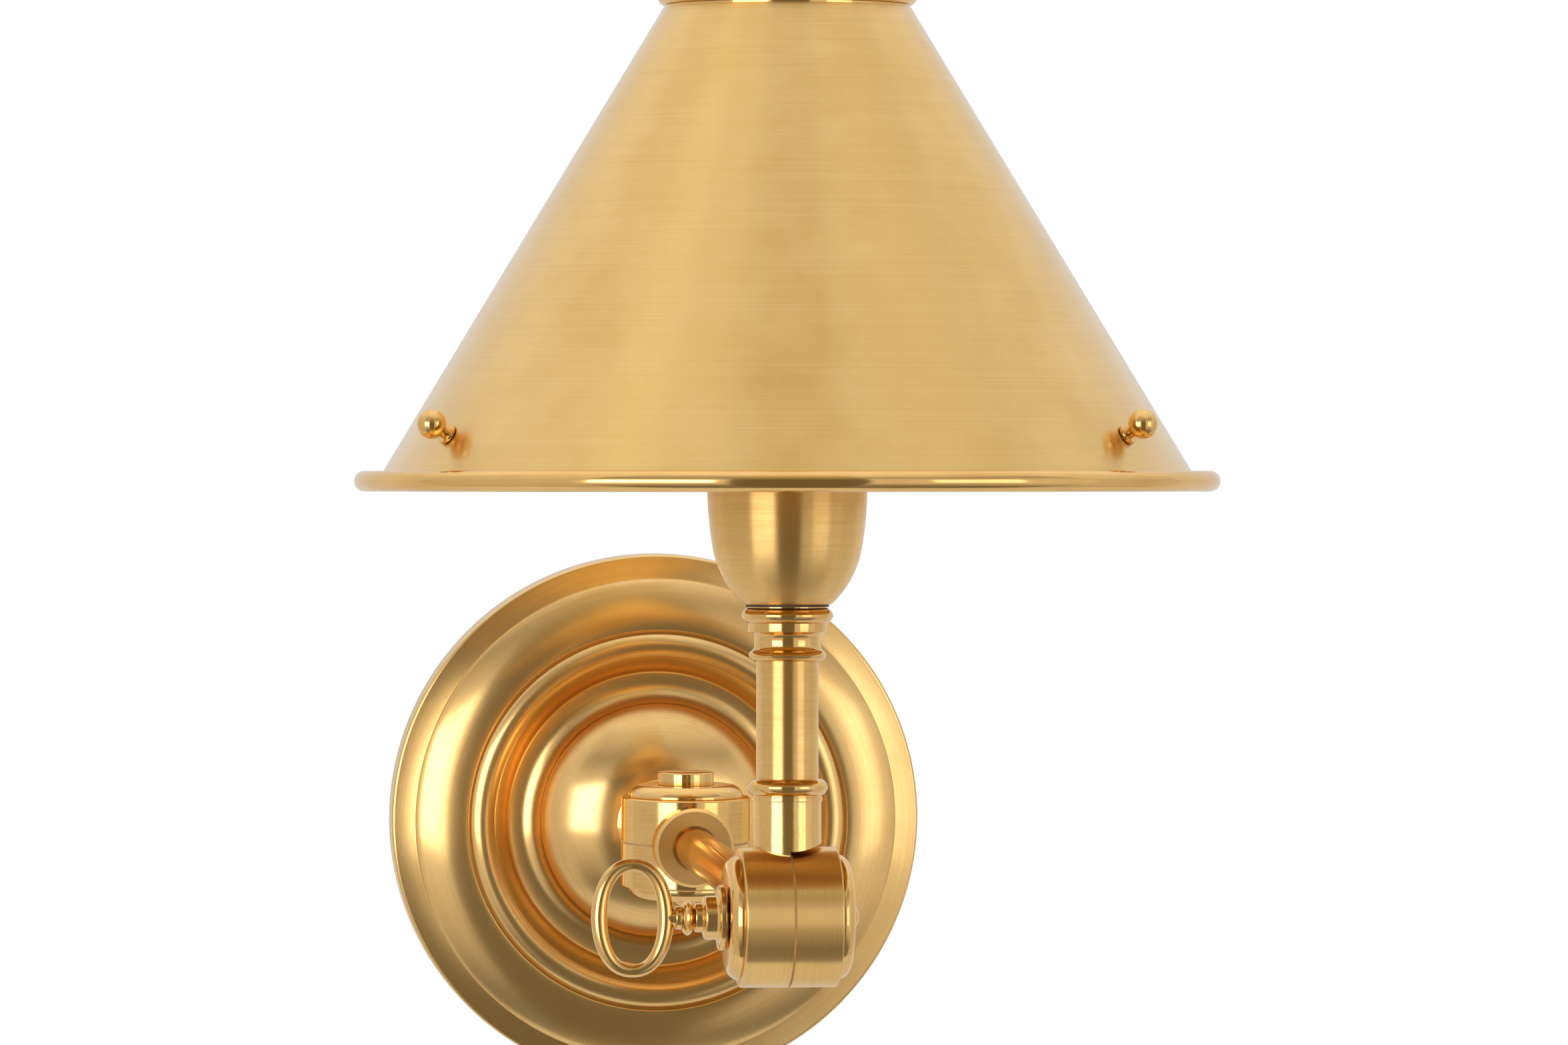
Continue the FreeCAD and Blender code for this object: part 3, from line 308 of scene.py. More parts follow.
# ---- finishes
@dataclass(frozen=True)
class Graph:
    """Adds nodes to a node tree and feeds their inputs."""

    tree: NodeTree

    def feed(self, target: Node, inputs: dict[str | int, object]) -> None:
        """Set a node's inputs.

        Args:
            target: the node.
            inputs: for an input's name or number, a value or the output that feeds it.
        """
        for key, item in inputs.items():
            if isinstance(item, NodeSocket):
                self.tree.links.new(item, target.inputs[key])
            else:
                target.inputs[key].default_value = item

    def node(self, kind: str, inputs: dict[str | int, object] | None = None, **settings: object) -> Node:
        """Add a node.

        Args:
            kind: its type's name after ShaderNode.
            inputs: what its inputs get, as in feed.
            settings: values of its properties.

        Returns:
            The node.
        """
        made = self.tree.nodes.new(f"ShaderNode{kind}")
        for key, setting in settings.items():
            setattr(made, key, setting)
        self.feed(made, inputs or {})
        return made

    def place(self) -> NodeSocket:
        """The shaded point in the object's own frame."""
        return self.node("TexCoord").outputs["Object"]

    def math(self, operation: str, first: object, second: object) -> NodeSocket:
        """Calculate with two numbers or outputs."""
        return self.node("Math", {0: first, 1: second}, operation=operation).outputs[0]

    def noise(self, vector: NodeSocket, scale: float, detail: Pair,
              w: NodeSocket | None = None) -> NodeSocket:
        """Noise between 0 and 1 at a place.

        Args:
            vector: where the noise is read.
            scale: its scale.
            detail: its octaves and how much the finer ones count.
            w: fourth coordinate, if any.

        Returns:
            The noise's output.
        """
        octaves, roughness = detail
        made = self.node("TexNoise", {"Scale": scale, "Detail": octaves, "Roughness": roughness,
                                      "Vector": vector}, noise_dimensions="4D" if w else "3D")
        if w:
            self.feed(made, {"W": w})
        return made.outputs["Fac"]

    def spread(self, source: NodeSocket, span: Pair, result: Pair) -> NodeSocket:
        """Map a span of an output to a result's range, and stop at its ends."""
        return self.node("MapRange", dict(enumerate((source, *span, *result))), clamp=True).outputs[0]

    def blend(self, factor: NodeSocket, first: Triple, second: Triple) -> NodeSocket:
        """Mix two colours by a factor."""
        inputs = {"Factor": factor, "A": (*first, 1.0), "B": (*second, 1.0)}
        return self.node("Mix", inputs, data_type="RGBA").outputs["Result"]

    def bump(self, height: NodeSocket, strength: float) -> NodeSocket:
        """Normal of a grain of GRAIN_DEPTH."""
        inputs = {"Strength": strength, "Distance": GRAIN_DEPTH, "Height": height}
        return self.node("Bump", inputs).outputs[0]


def fresh_material(name: str) -> tuple[Material, Graph, Node]:
    """Add a node material.

    Args:
        name: its name.

    Returns:
        The material, its graph and its surface shader.
    """
    material = bpy.data.materials.new(name)
    material.use_nodes = True
    return material, Graph(material.node_tree), material.node_tree.nodes["Principled BSDF"]


@dataclass(frozen=True)
class TurnedMetal:
    """Metal with the fine rings that a lathe and its polishing cloth leave round the axis."""

    name: str
    tint: Triple
    tarnish: Triple
    roughness: float
    roughness_range: float = 0.06
    ring_scale: float = 2600.0
    ring_height: float = 0.08
    ring_detail: Pair = (4.0, 0.62)
    ring_share: float = 0.45
    blotch_scale: float = 55.0
    blotch_detail: Pair = (5.0, 0.6)
    sheen_span: Pair = (0.35, 0.65)
    tarnish_span: Pair = (0.4, 0.66)
    anisotropy: float = 0.0
    outer_reach: float = 0.0
    outer_roughness: float = 0.0
    lacquer: float = 0.0
    lacquer_roughness: float = 0.12
    edge_tint: Triple = WHITE

    def dress(self, axis: Axis) -> Material:
        """The metal for pieces turned about one axis.

        Args:
            axis: the line round which the rings run.

        Returns:
            The material, made once for each axis.
        """
        label = f"{self.name}_{axis.name.lower()}"
        if label in bpy.data.materials:
            return bpy.data.materials[label]
        material, graph, shader = fresh_material(label)
        place = PIVOTS.place(axis)
        frame_of_axis = {"Location": place.to_translation(), "Rotation": place.to_euler()}
        centred = graph.node("Mapping", {"Vector": graph.place(), **frame_of_axis},
                             vector_type="TEXTURE").outputs[0]
        x, y, z = graph.node("SeparateXYZ", {0: centred}).outputs
        flat = graph.node("CombineXYZ", {"X": x, "Y": y}).outputs[0]
        distance = graph.node("VectorMath", {0: flat}, operation="LENGTH").outputs["Value"]
        heading = graph.node("VectorMath", {0: flat}, operation="NORMALIZE").outputs["Vector"]
        heading_x, heading_y, _ = graph.node("SeparateXYZ", {0: heading}).outputs
        along = graph.math("MULTIPLY", z, self.ring_scale)
        across = graph.math("MULTIPLY", distance, self.ring_scale)
        ring_place = graph.node("CombineXYZ", {"X": heading_x, "Y": heading_y, "Z": along}).outputs[0]
        rings = graph.noise(ring_place, 1.0, self.ring_detail, w=across)
        blotches = graph.noise(centred, self.blotch_scale, self.blotch_detail)
        worn = graph.math("ADD", graph.math("MULTIPLY", rings, self.ring_share),
                          graph.math("MULTIPLY", blotches, 1 - self.ring_share))
        half = self.roughness_range / 2
        sheen = graph.spread(worn, self.sheen_span, (self.roughness - half, self.roughness + half))
        if self.outer_reach:
            beyond = graph.math("GREATER_THAN", distance, self.outer_reach * MM)
            step = graph.math("MULTIPLY", beyond, self.outer_roughness - self.roughness)
            sheen = graph.math("ADD", sheen, step)
        tarnished = graph.spread(worn, self.tarnish_span, (0.0, 1.0))
        graph.feed(shader, {
            "Base Color": graph.blend(tarnished, self.tint, self.tarnish), "Roughness": sheen,
            "Normal": graph.bump(rings, self.ring_height), "Metallic": 1.0, "Coat Weight": self.lacquer,
            "Coat Roughness": self.lacquer_roughness, "Specular Tint": (*self.edge_tint, 1.0)})
        if self.anisotropy:
            round_the_axis = graph.node("Tangent", direction_type="RADIAL", axis=axis.value.upper())
            graph.feed(shader, {"Tangent": round_the_axis.outputs[0], "Anisotropic": self.anisotropy,
                                "Anisotropic Rotation": ACROSS_THE_RINGS})
        return material


@dataclass(frozen=True)
class Moulding:
    """Matt or glossy non-metal with a fine grain."""

    name: str
    tint: Triple
    highlight: Triple
    roughness: float
    grain_scale: float
    grain_height: float = 0.25
    grain_detail: Pair = (4.0, 0.6)
    tint_span: Pair = (0.35, 0.7)
    gloss_span: Pair = (0.3, 0.7)
    smoother: float = 0.06
    rougher: float = 0.08

    def dress(self, axis: Axis) -> Material:
        """The non-metal.

        Args:
            axis: left aside, because the grain runs in no direction.

        Returns:
            The material, made once.
        """
        label = f"{self.name}_grained"
        if label in bpy.data.materials:
            return bpy.data.materials[label]
        material, graph, shader = fresh_material(label)
        grain = graph.noise(graph.place(), self.grain_scale, self.grain_detail)
        lit = graph.spread(grain, self.tint_span, (0.0, 1.0))
        sheen = self.roughness - self.smoother, self.roughness + self.rougher
        graph.feed(shader, {"Base Color": graph.blend(lit, self.tint, self.highlight),
                            "Roughness": graph.spread(grain, self.gloss_span, sheen),
                            "Normal": graph.bump(grain, self.grain_height)})
        return material


Finish = TurnedMetal | Moulding
POLISHED = TurnedMetal("polished_brass", (0.91, 0.59, 0.23), (0.78, 0.46, 0.15), roughness=0.09)
FACED = replace(POLISHED, name="faced_brass", roughness=0.11, outer_reach=19.4, outer_roughness=0.36,
                edge_tint=(1.0, 0.8, 0.5))
KEYED = TurnedMetal("key_brass", (0.91, 0.60, 0.24), (0.78, 0.47, 0.16), roughness=0.17,
                    ring_height=0.10)
SPUN = TurnedMetal("spun_brass", (0.91, 0.60, 0.24), (0.82, 0.51, 0.18), roughness=0.20,
                   ring_scale=1900.0, ring_height=0.12, anisotropy=0.7, lacquer=0.3)
SATIN = TurnedMetal("satin_brass", (0.91, 0.60, 0.23), (0.81, 0.50, 0.17), roughness=0.31,
                    roughness_range=0.08, ring_scale=2400.0, ring_height=0.25, anisotropy=0.9)
LINED = replace(SATIN, name="lined_brass", roughness_range=0.06, ring_scale=2200.0, ring_height=0.22,
                outer_reach=15.3, outer_roughness=0.10)
BRUSHED = TurnedMetal("brushed_brass", (0.90, 0.61, 0.22), (0.83, 0.54, 0.16), roughness=0.32,
                      ring_scale=2100.0, ring_height=0.35, anisotropy=0.9, lacquer=0.8)
DRAWN = TurnedMetal("drawn_brass", (0.90, 0.58, 0.21), (0.80, 0.48, 0.15), roughness=0.12,
                    roughness_range=0.03, ring_scale=300.0, ring_height=0.0,
                    edge_tint=(0.97, 0.78, 0.50))
ZINC = TurnedMetal("zinc_steel", (0.62, 0.63, 0.65), (0.48, 0.47, 0.45), roughness=0.36,
                   roughness_range=0.16, ring_scale=1500.0, ring_height=0.2)
GREEN = Moulding("green_screw", (0.03, 0.22, 0.07), (0.05, 0.30, 0.10), 0.32, 900.0)
FIBRE = Moulding("dark_fibre", (0.60, 0.36, 0.14), (0.70, 0.44, 0.19), 0.7, 1400.0)
# Near-black fibre for the washer under the cup: its darkness is painted shadow, standing for the dark
# gap between the capital and the cup.
SHADOW_GAP_FIBRE = Moulding("shadow_gap_fibre", (0.05, 0.028, 0.014), (0.08, 0.045, 0.025), 0.6, 1400.0)
PHENOLIC = Moulding("black_phenolic", (0.012, 0.011, 0.010), (0.03, 0.027, 0.024), 0.28, 1100.0)
FINISHES = {Slot(finish.name): finish for finish in (POLISHED, SATIN, ZINC, GREEN, FIBRE, PHENOLIC)}


class SubAssembly:
    """Pieces that belong together, with the axis and the body that most of them share."""

    axis: Axis = Axis.WALL
    body: Body = Body.WALL

    def carry(self, piece: Object, slot: Slot, node: str, axis: Axis | None = None,
              body: Body | None = None, finish: Finish | None = None) -> None:
        """Dress a new piece, let it stand for its CAD node and ride on its body.

        Args:
            piece: the new piece, in place.
            slot: the record's material slot.
            node: CAD node that the piece stands for.
            axis: the axis that its finish follows, if it isn't the sub-assembly's own.
            body: body that carries it, if it isn't the sub-assembly's own.
            finish: its finish, if it isn't the slot's own.
        """
        piece.data.materials.clear()
        piece.data.materials.append((finish or FINISHES[slot]).dress(axis or self.axis))
        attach(piece, (body or self.body).value)
        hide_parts(node)
        LOG.info("%s: %d faces for %s", piece.name, len(piece.data.polygons), node)

    def turned(self, name: str, corners: list[Corner], slot: Slot, node: str, around: int = 128,
               closed: bool = True, axis: Axis | None = None, place: Matrix | None = None,
               body: Body | None = None, finish: Finish | None = None) -> None:
        """Turn a piece about its axis, or about the z axis of a place given for it, and carry it."""
        place = place or PIVOTS.place(axis or self.axis)
        self.carry(Lathe(around).turn(name, corners, place, closed), slot, node, axis, body, finish)

    def paint(self, slot: Slot, *nodes: str, axis: Axis | None = None,
              finish: Finish | None = None) -> None:
        """Give CAD nodes that stay their finish.

        Args:
            slot: the record's material slot.
            nodes: the CAD nodes.
            axis: the axis that the finish follows, if it isn't the sub-assembly's own.
            finish: the finish, if it isn't the slot's own.
        """
        for node in nodes:
            for material_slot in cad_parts[node].material_slots:
                material_slot.material = (finish or FINISHES[slot]).dress(axis or self.axis)
            LOG.info("%s: kept, in %s", node, slot.value)


# ---- on the wall
@dataclass
class Rosette(SubAssembly):
    """Spun backplate with its crossbar and hardware."""

    plate_radius: float = 63.5
    edge_height: float = 7.0
    edge_round: float = 0.8
    wall: float = 1.2
    torus_walls: float = 1.5
    band: Pair = (57.8, 8.4)
    torus_foot: float = 9.2
    torus_top: Pair = (45.7, 12.6)
    torus_bend: float = 23.2
    quirk: Pair = (45.2, 11.8)
    bead_end: Pair = (39.2, 12.4)
    bead_bend: float = 4.1
    recess: Pair = (35.5, 6.6)
    recess_inner: float = 32.8
    cove: Pair = (28.0, 9.8)
    cove_bend: float = 5.6
    dome_foot: float = 10.6
    dome_top: Pair = (9.0, 19.7)
    dome_bend: float = 24.0
    hole_radius: float = 5.0

    @property
    def outline(self) -> list[Corner]:
        """Outline of the spun sheet, from the back edge round the front to the hole and back."""
        wall, edge = self.wall, self.edge_height + self.edge_round
        band, torus, roll, recess, cove, dome = (
            self.band, self.torus_top, self.bead_end, self.recess, self.cove, self.dome_top)
        return [
            Corner(self.plate_radius, 0.0, soften=0.15),
            Corner(self.plate_radius, self.edge_height, soften=0.25),
            Corner(self.plate_radius - self.edge_round, edge, self.edge_round),
            Corner(*band, soften=0.18),
            Corner(band[0], self.torus_foot, soften=0.2),
            Corner(*torus, self.torus_bend, soften=0.25),
            Corner(*self.quirk, soften=0.15),
            Corner(*roll, self.bead_bend, soften=0.3),
            Corner(*recess, soften=0.5),
            Corner(self.recess_inner, recess[1], soften=0.3),
            Corner(*cove, -self.cove_bend, soften=0.2),
            Corner(cove[0], self.dome_foot, soften=0.25),
            Corner(*dome, self.dome_bend),
            Corner(self.hole_radius, dome[1], soften=0.1),
            Corner(self.hole_radius, dome[1] - wall), Corner(dome[0], dome[1] - wall),
            Corner(cove[0] - wall, self.dome_foot - wall, -(self.dome_bend - wall)),
            Corner(self.recess_inner + wall / 2, recess[1] - wall),
            Corner(recess[0] + wall, recess[1] - wall),
            Corner(roll[0] + wall, roll[1] - wall),
            Corner(torus[0], torus[1] - self.torus_walls * wall),
            Corner(band[0] - wall, self.torus_foot - wall),
            Corner(self.plate_radius - wall, edge - wall),
            Corner(self.plate_radius - wall, 0.0, soften=0.15),
        ]

    def build(self) -> None:
        """Make the plate and dress the hardware behind it."""
        self.turned("rosette_plate", self.outline, Slot.POLISHED, "backplate", around=256, finish=SPUN)
        self.paint(Slot.ZINC, "mounting_bracket", "backplate_set_screws", "wall_nipple",
                   "wall_nipple_nut", "wall_nipple_washer")
        self.paint(Slot.GREEN, "bracket_ground_screw")


# ---- knuckles and arm
@dataclass
class PivotCaps(SubAssembly):
    """Stepped caps, button and dome nut on the ends of both knuckles."""

    knuckle_half: float = 10.5
    seat_gap: float = 0.02
    cap_radius: float = 13.3
    cap_edge: float = 0.6
    cap_height: float = 2.8
    cap_flat_radius: float = 10.9
    cap_bend: float = 3.0
    hole: float = 2.55
    button_radius: float = 6.5
    button_height: float = 3.0
    button_round: float = 0.35
    nut_radius: float = 2.9
    nut_skirt: float = 0.8
    nut_rise: float = 1.3

    @property
    def cap_top(self) -> float:
        """Height of a cap's flat face."""
        return self.knuckle_half + self.cap_height

    @property
    def cap(self) -> list[Corner]:
        """Outline of a cap."""
        return [
            Corner(self.hole, self.knuckle_half), Corner(self.cap_radius, self.knuckle_half, soften=0.1),
            Corner(self.cap_radius, self.knuckle_half + self.cap_edge, soften=0.15),
            Corner(self.cap_flat_radius, self.cap_top, self.cap_bend, soften=0.25),
            Corner(self.hole, self.cap_top),
        ]

    @property
    def button(self) -> list[Corner]:
        """Outline of the flat button on the rear knuckle."""
        seat, top = self.cap_top + self.seat_gap, self.cap_top + self.button_height
        return [
            Corner(0.0, seat), Corner(self.button_radius, seat, soften=0.12),
            Corner(self.button_radius, top, soften=self.button_round), Corner(0.0, top),
        ]

    @property
    def dome_nut(self) -> list[Corner]:
        """Outline of the small nut that closes a pivot."""
        bend = (self.nut_radius**2 + self.nut_rise**2) / (2 * self.nut_rise)
        seat, skirt = self.cap_top + self.seat_gap, self.cap_top + self.nut_skirt
        return [
            Corner(0.0, seat), Corner(self.nut_radius, seat),
            Corner(self.nut_radius, skirt, soften=0.12), Corner(0.0, skirt + self.nut_rise, bend),
        ]

    def build(self) -> None:
        """Make the caps, the button and the nuts."""
        swing, tilt = Axis.SWING, Axis.TILT
        cap, nut = self.cap, self.dome_nut
        for name, node, outline, closed, axis, body in (
                ("cap_rear_top", "rear_top_cap", cap, True, swing, Body.ARM),
                ("cap_rear_bottom", "rear_bottom_cap", mirrored(cap), True, swing, Body.WALL),
                ("cap_front_right", "front_right_cap", cap, True, tilt, Body.ARM),
                ("cap_front_left", "front_left_cap", mirrored(cap), True, tilt, Body.HEAD),
                ("pivot_button", "rear_pivot_screw", self.button, False, swing, Body.ARM),
                ("nut_rear", "rear_pivot_nut", mirrored(nut), False, swing, Body.ARM),
                ("nut_front", "front_pivot_nut", nut, False, tilt, Body.ARM)):
            self.turned(name, outline, Slot.POLISHED, node, closed=closed, axis=axis, body=body)


class Knuckles(SubAssembly):
    """Both swivel knuckles and the straight arm between them."""

    axis: Axis = Axis.SWING

    def build(self) -> None:
        """Dress the halves of the knuckles, the rod and the washers."""
        self.paint(Slot.POLISHED, "rear_knuckle_base")
        self.paint(Slot.POLISHED, "rear_knuckle_turret", finish=FACED)
        self.paint(Slot.POLISHED, "front_knuckle_arm_half", "front_knuckle_head_half", axis=Axis.TILT,
                   finish=LINED)
        self.paint(Slot.POLISHED, "arm_rod", axis=Axis.WALL, finish=DRAWN)
        self.paint(Slot.FIBRE, "rear_friction_washer", "front_friction_washer")


# ---- stem and cup
@dataclass
class Stem(SubAssembly):
    """Turned stem: ring, satin tube, capital and the cup above them."""

    axis: Axis = Axis.STEM
    body: Body = Body.HEAD
    boss_radius: float = 7.25
    boss_top: float = 24.7
    fillet_radius: float = 7.45
    fillet_height: float = 1.0
    bead_radius: float = 8.65
    bead_height: float = 3.5
    bead_fillet: float = 0.3
    seat: float = 1.5
    tube_radius: float = 6.65
    tube_bore: float = 5.2
    tube_length: float = 25.2
    small_bead_radius: float = 8.3
    small_bead_height: float = 2.3
    groove_radius: float = 7.1
    groove_height: float = 3.8
    cove_rise: float = 1.2
    cove_bend: float = 3.2
    step_bend: float = 2.2
    step_radius: float = 8.4
    step_height: float = 1.9
    top_bead_radius: float = 9.85
    top_bead_height: float = 3.3
    land: float = 0.2
    washer_height: float = 0.5
    hole: float = 5.0
    cup_foot: float = 9.4
    cup_knee: Pair = (15.9, 11.9)
    cup_knee_bend: float = 21.3
    cup_radius: float = 17.1
    cup_round_height: float = 25.5
    cup_side_bend: float = 77.7
    cup_height: float = 31.5
    cup_wall: float = 1.0
    knee_walls: float = 0.2
    foot_walls: float = 0.4

    @property
    def bead_foot(self) -> float:
        """Height of the foot of the stem's lower bead."""
        return self.boss_top + self.fillet_height + self.bead_fillet

    @property
    def ring_top(self) -> float:
        """Height where the lower bead ends."""
        return self.bead_foot + self.bead_height

    @property
    def tube_top(self) -> float:
        """Height where the satin tube ends."""
        return self.ring_top + self.tube_length

    @property
    def capital_top(self) -> float:
        """Height of the capital's upper face."""
        return (self.tube_top + self.small_bead_height + self.groove_height + self.step_height
                + self.top_bead_height + self.land)

    @property
    def cup_bottom(self) -> float:
        """Height of the cup's foot."""
        return self.capital_top + self.washer_height

    @property
    def ring(self) -> list[Corner]:
        """Outline of the ring that sits on the boss."""
        fillet_top = self.boss_top + self.fillet_height
        return [
            Corner(self.hole, self.boss_top), Corner(self.fillet_radius, self.boss_top, soften=0.12),
            Corner(self.fillet_radius, fillet_top, soften=0.15), Corner(self.boss_radius, fillet_top),
            Corner(self.boss_radius, self.bead_foot),
            *bead(self.bead_foot, self.ring_top, self.bead_radius, self.boss_radius),
            Corner(self.tube_radius, self.ring_top), Corner(self.tube_radius, self.ring_top - self.seat),
            Corner(self.hole, self.ring_top - self.seat),
        ]

    @property
    def tube(self) -> list[Corner]:
        """Outline of the satin tube."""
        foot = self.ring_top - self.seat
        return [
            Corner(self.tube_bore, foot), Corner(self.tube_radius, foot),
            Corner(self.tube_radius, self.tube_top, soften=0.08), Corner(self.tube_bore, self.tube_top),
        ]

    @property
    def capital(self) -> list[Corner]:
        """Outline of the capital's beads, groove and step."""
        neck = self.tube_top + self.small_bead_height
        step = neck + self.groove_height
        start = step + self.step_height
        return [
            Corner(self.hole, self.tube_top), Corner(self.tube_radius + self.bead_fillet, self.tube_top),
            *bead(self.tube_top, neck, self.small_bead_radius, self.groove_radius + self.bead_fillet),
            Corner(self.groove_radius, neck + self.cove_rise, -self.cove_bend),
            Corner(self.groove_radius, step - self.cove_rise),
            Corner(self.step_radius - self.bead_fillet, step, -self.step_bend, soften=0.1),
            Corner(self.step_radius, step, soften=0.12), Corner(self.step_radius, start),
            *bead(start, start + self.top_bead_height, self.top_bead_radius, self.step_radius),
            Corner(self.step_radius, self.capital_top), Corner(self.hole, self.capital_top),
        ]

    @property
    def cup(self) -> list[Corner]:
        """Outline of the bell-shaped cup, one wall thick."""
        base, wall = self.cup_bottom, self.cup_wall
        knee_radius, knee = self.cup_knee[0], base + self.cup_knee[1]
        inside, round_top = self.cup_radius - wall, base + self.cup_round_height
        top = base + self.cup_height
        return [
            Corner(self.hole, base), Corner(self.cup_foot, base, soften=0.3),
            Corner(knee_radius, knee, self.cup_knee_bend),
            Corner(self.cup_radius, round_top, self.cup_side_bend),
            Corner(self.cup_radius, top, soften=0.25),
            Corner(inside, top, soften=0.25), Corner(inside, round_top),
            Corner(knee_radius - wall, knee + self.knee_walls * wall, -(self.cup_side_bend - wall)),
            Corner(self.cup_foot - self.foot_walls * wall, base + wall, -(self.cup_knee_bend - wall)),
            Corner(self.hole, base + wall),
        ]

    def build(self) -> None:
        """Make the stem's turned pieces and dress the rest."""
        for name, node, outline, slot in (
                ("stem_lower_bead", "stem_ring", self.ring, Slot.POLISHED),
                ("stem_shaft", "stem_tube", self.tube, Slot.SATIN),
                ("stem_upper_beads", "stem_capital", self.capital, Slot.POLISHED),
                ("cup_bell", "socket_cup", self.cup, Slot.SATIN)):
            self.turned(name, outline, slot, node, around=144)
        # The washer under the cup is painted near-black, as painted shadow of the gap there.
        self.paint(Slot.FIBRE, "cup_washer", finish=SHADOW_GAP_FIBRE)
        self.paint(Slot.PHENOLIC, "socket_body")
        self.paint(Slot.SATIN, "socket_screw_shell", "socket_contact", "shade_carrier",
                   "carrier_ring_nut")
        self.paint(Slot.ZINC, "stem_pipe", "cup_nut")


# ---- shade
@dataclass
class Shade(SubAssembly):
    """Conical sheet, its rim ring, its top ring and the three ball screws."""

    axis: Axis = Axis.STEM
    body: Body = Body.HEAD
    rim_height: float = 93.0
    rim_radius: float = 92.3
    rim_thickness: float = 4.4
    rim_width: float = 7.7
    bottom_radius: float = 86.1
    top_radius: float = 26.4
    height: float = 98.8
    sheet: float = 1.0
    lip_radius: float = 27.7
    lip: float = 3.6
    seam: float = 0.45
    neck_radius: float = 25.6
    neck_height: float = 2.2
    bead_rise: float = 0.7
    bead_height: float = 2.6
    vent_radius: float = 21.5
    carrier_turn_angle: float = 7.2
    front_angle: float = 270.0
    screw_spacing_angle: float = 120.0
    screw_height: float = 7.3
    screw_radius: float = 1.5
    screw_tail: float = 5.2
    collar_radius: float = 2.3
    collar_height: float = 0.8
    collar_gap: float = 0.15
    neck_of_screw: float = 1.2
    ball_radius: float = 3.1
    ball_stand: float = 4.7

    @property
    def bottom(self) -> float:
        """Height of the sheet's lower edge."""
        return self.rim_height + self.rim_thickness / 2

    @property
    def top(self) -> float:
        """Height of the sheet's upper edge."""
        return self.bottom + self.height

    @property
    def slant(self) -> float:
        """Angle between the sheet and the axis, in radians."""
        return math.atan((self.bottom_radius - self.top_radius) / self.height)

    @property
    def cone(self) -> list[Corner]:
        """Outline of the conical sheet."""
        across = self.sheet / math.cos(self.slant)
        return [
            Corner(self.bottom_radius - across, self.bottom), Corner(self.bottom_radius, self.bottom),
            Corner(self.top_radius, self.top), Corner(self.top_radius - across, self.top),
        ]

    @property
    def rim(self) -> list[Corner]:
        """Outline of the rolled rim ring."""
        half, inner = self.rim_thickness / 2, self.rim_radius - self.rim_width
        return [
            Corner(inner, self.rim_height - half, soften=0.4),
            Corner(self.rim_radius - half, self.rim_height - half),
            Corner(self.rim_radius, self.rim_height, half),
            Corner(self.rim_radius - half, self.rim_height + half, half),
            Corner(inner, self.rim_height + half, soften=0.4),
        ]

    @property
    def top_ring(self) -> list[Corner]:
        """Outline of the stepped ring that closes the cone."""
        seam, lip = self.top + self.seam, self.top + self.lip
        start = lip + self.neck_height
        top = start + self.bead_height
        flat = self.lip_radius - self.lip / 3
        return [
            Corner(self.vent_radius, self.top), Corner(self.neck_radius, self.top),
            Corner(self.neck_radius, seam), Corner(flat, seam),
            *bead(seam, lip, self.lip_radius, flat, BEAD_BEND * self.lip),
            Corner(self.neck_radius, lip), Corner(self.neck_radius, start),
            *bead(start, top, self.neck_radius + self.bead_rise, self.neck_radius),
            Corner(self.vent_radius, top, soften=0.4),
        ]

    @property
    def ball_screw(self) -> list[Corner]:
        """Outline of a ball-headed screw whose seat is at height zero."""
        collar_top = self.collar_gap + self.collar_height
        foot = self.ball_stand - math.sqrt(self.ball_radius**2 - self.neck_of_screw**2)
        return [
            Corner(0.0, -self.screw_tail), Corner(self.screw_radius, -self.screw_tail, soften=0.25),
            Corner(self.screw_radius, self.collar_gap),
            Corner(self.collar_radius, self.collar_gap, soften=0.15),
            Corner(self.collar_radius, collar_top, soften=0.2), Corner(self.neck_of_screw, collar_top),
            Corner(self.neck_of_screw, foot),
            Corner(self.ball_radius, self.ball_stand, self.ball_radius),
            Corner(0.0, self.ball_stand + self.ball_radius, self.ball_radius),
        ]

    def screw_place(self, turn_angle: float) -> Matrix:
        """Frame of a screw on the sheet's outer face.

        Args:
            turn_angle: degrees round the axis from the first screw.

        Returns:
            Matrix whose z axis stands square to the sheet.
        """
        first = self.front_angle - self.screw_spacing_angle / 2 - self.carrier_turn_angle
        radius = self.bottom_radius - self.screw_height * math.tan(self.slant)
        spin = Matrix.Rotation(math.radians(first + turn_angle), 4, "Z")
        base = Matrix.Translation((radius * MM, 0.0, (self.bottom + self.screw_height) * MM))
        lean = Matrix.Rotation(math.pi / 2 - self.slant, 4, "Y")
        return PIVOTS.place(Axis.STEM) @ spin @ base @ lean

    def build(self) -> None:
        """Make the sheet, the rings and the screws."""
        self.turned("shade_sheet", self.cone, Slot.SATIN, "shade_cone", around=256, finish=BRUSHED)
        self.turned("shade_rolled_rim", self.rim, Slot.POLISHED, "shade_rim_ring", around=256)
        self.turned("shade_vent_ring", self.top_ring, Slot.POLISHED, "shade_top_ring", around=192)
        for number, body in enumerate((Body.SCREW_LEFT, Body.SCREW_RIGHT, Body.SCREW_BACK)):
            place = self.screw_place(number * self.screw_spacing_angle)
            self.turned(f"ball_{body.value}", self.ball_screw, Slot.POLISHED, f"shade_{body.value}",
                        around=72, closed=False, place=place, body=body)


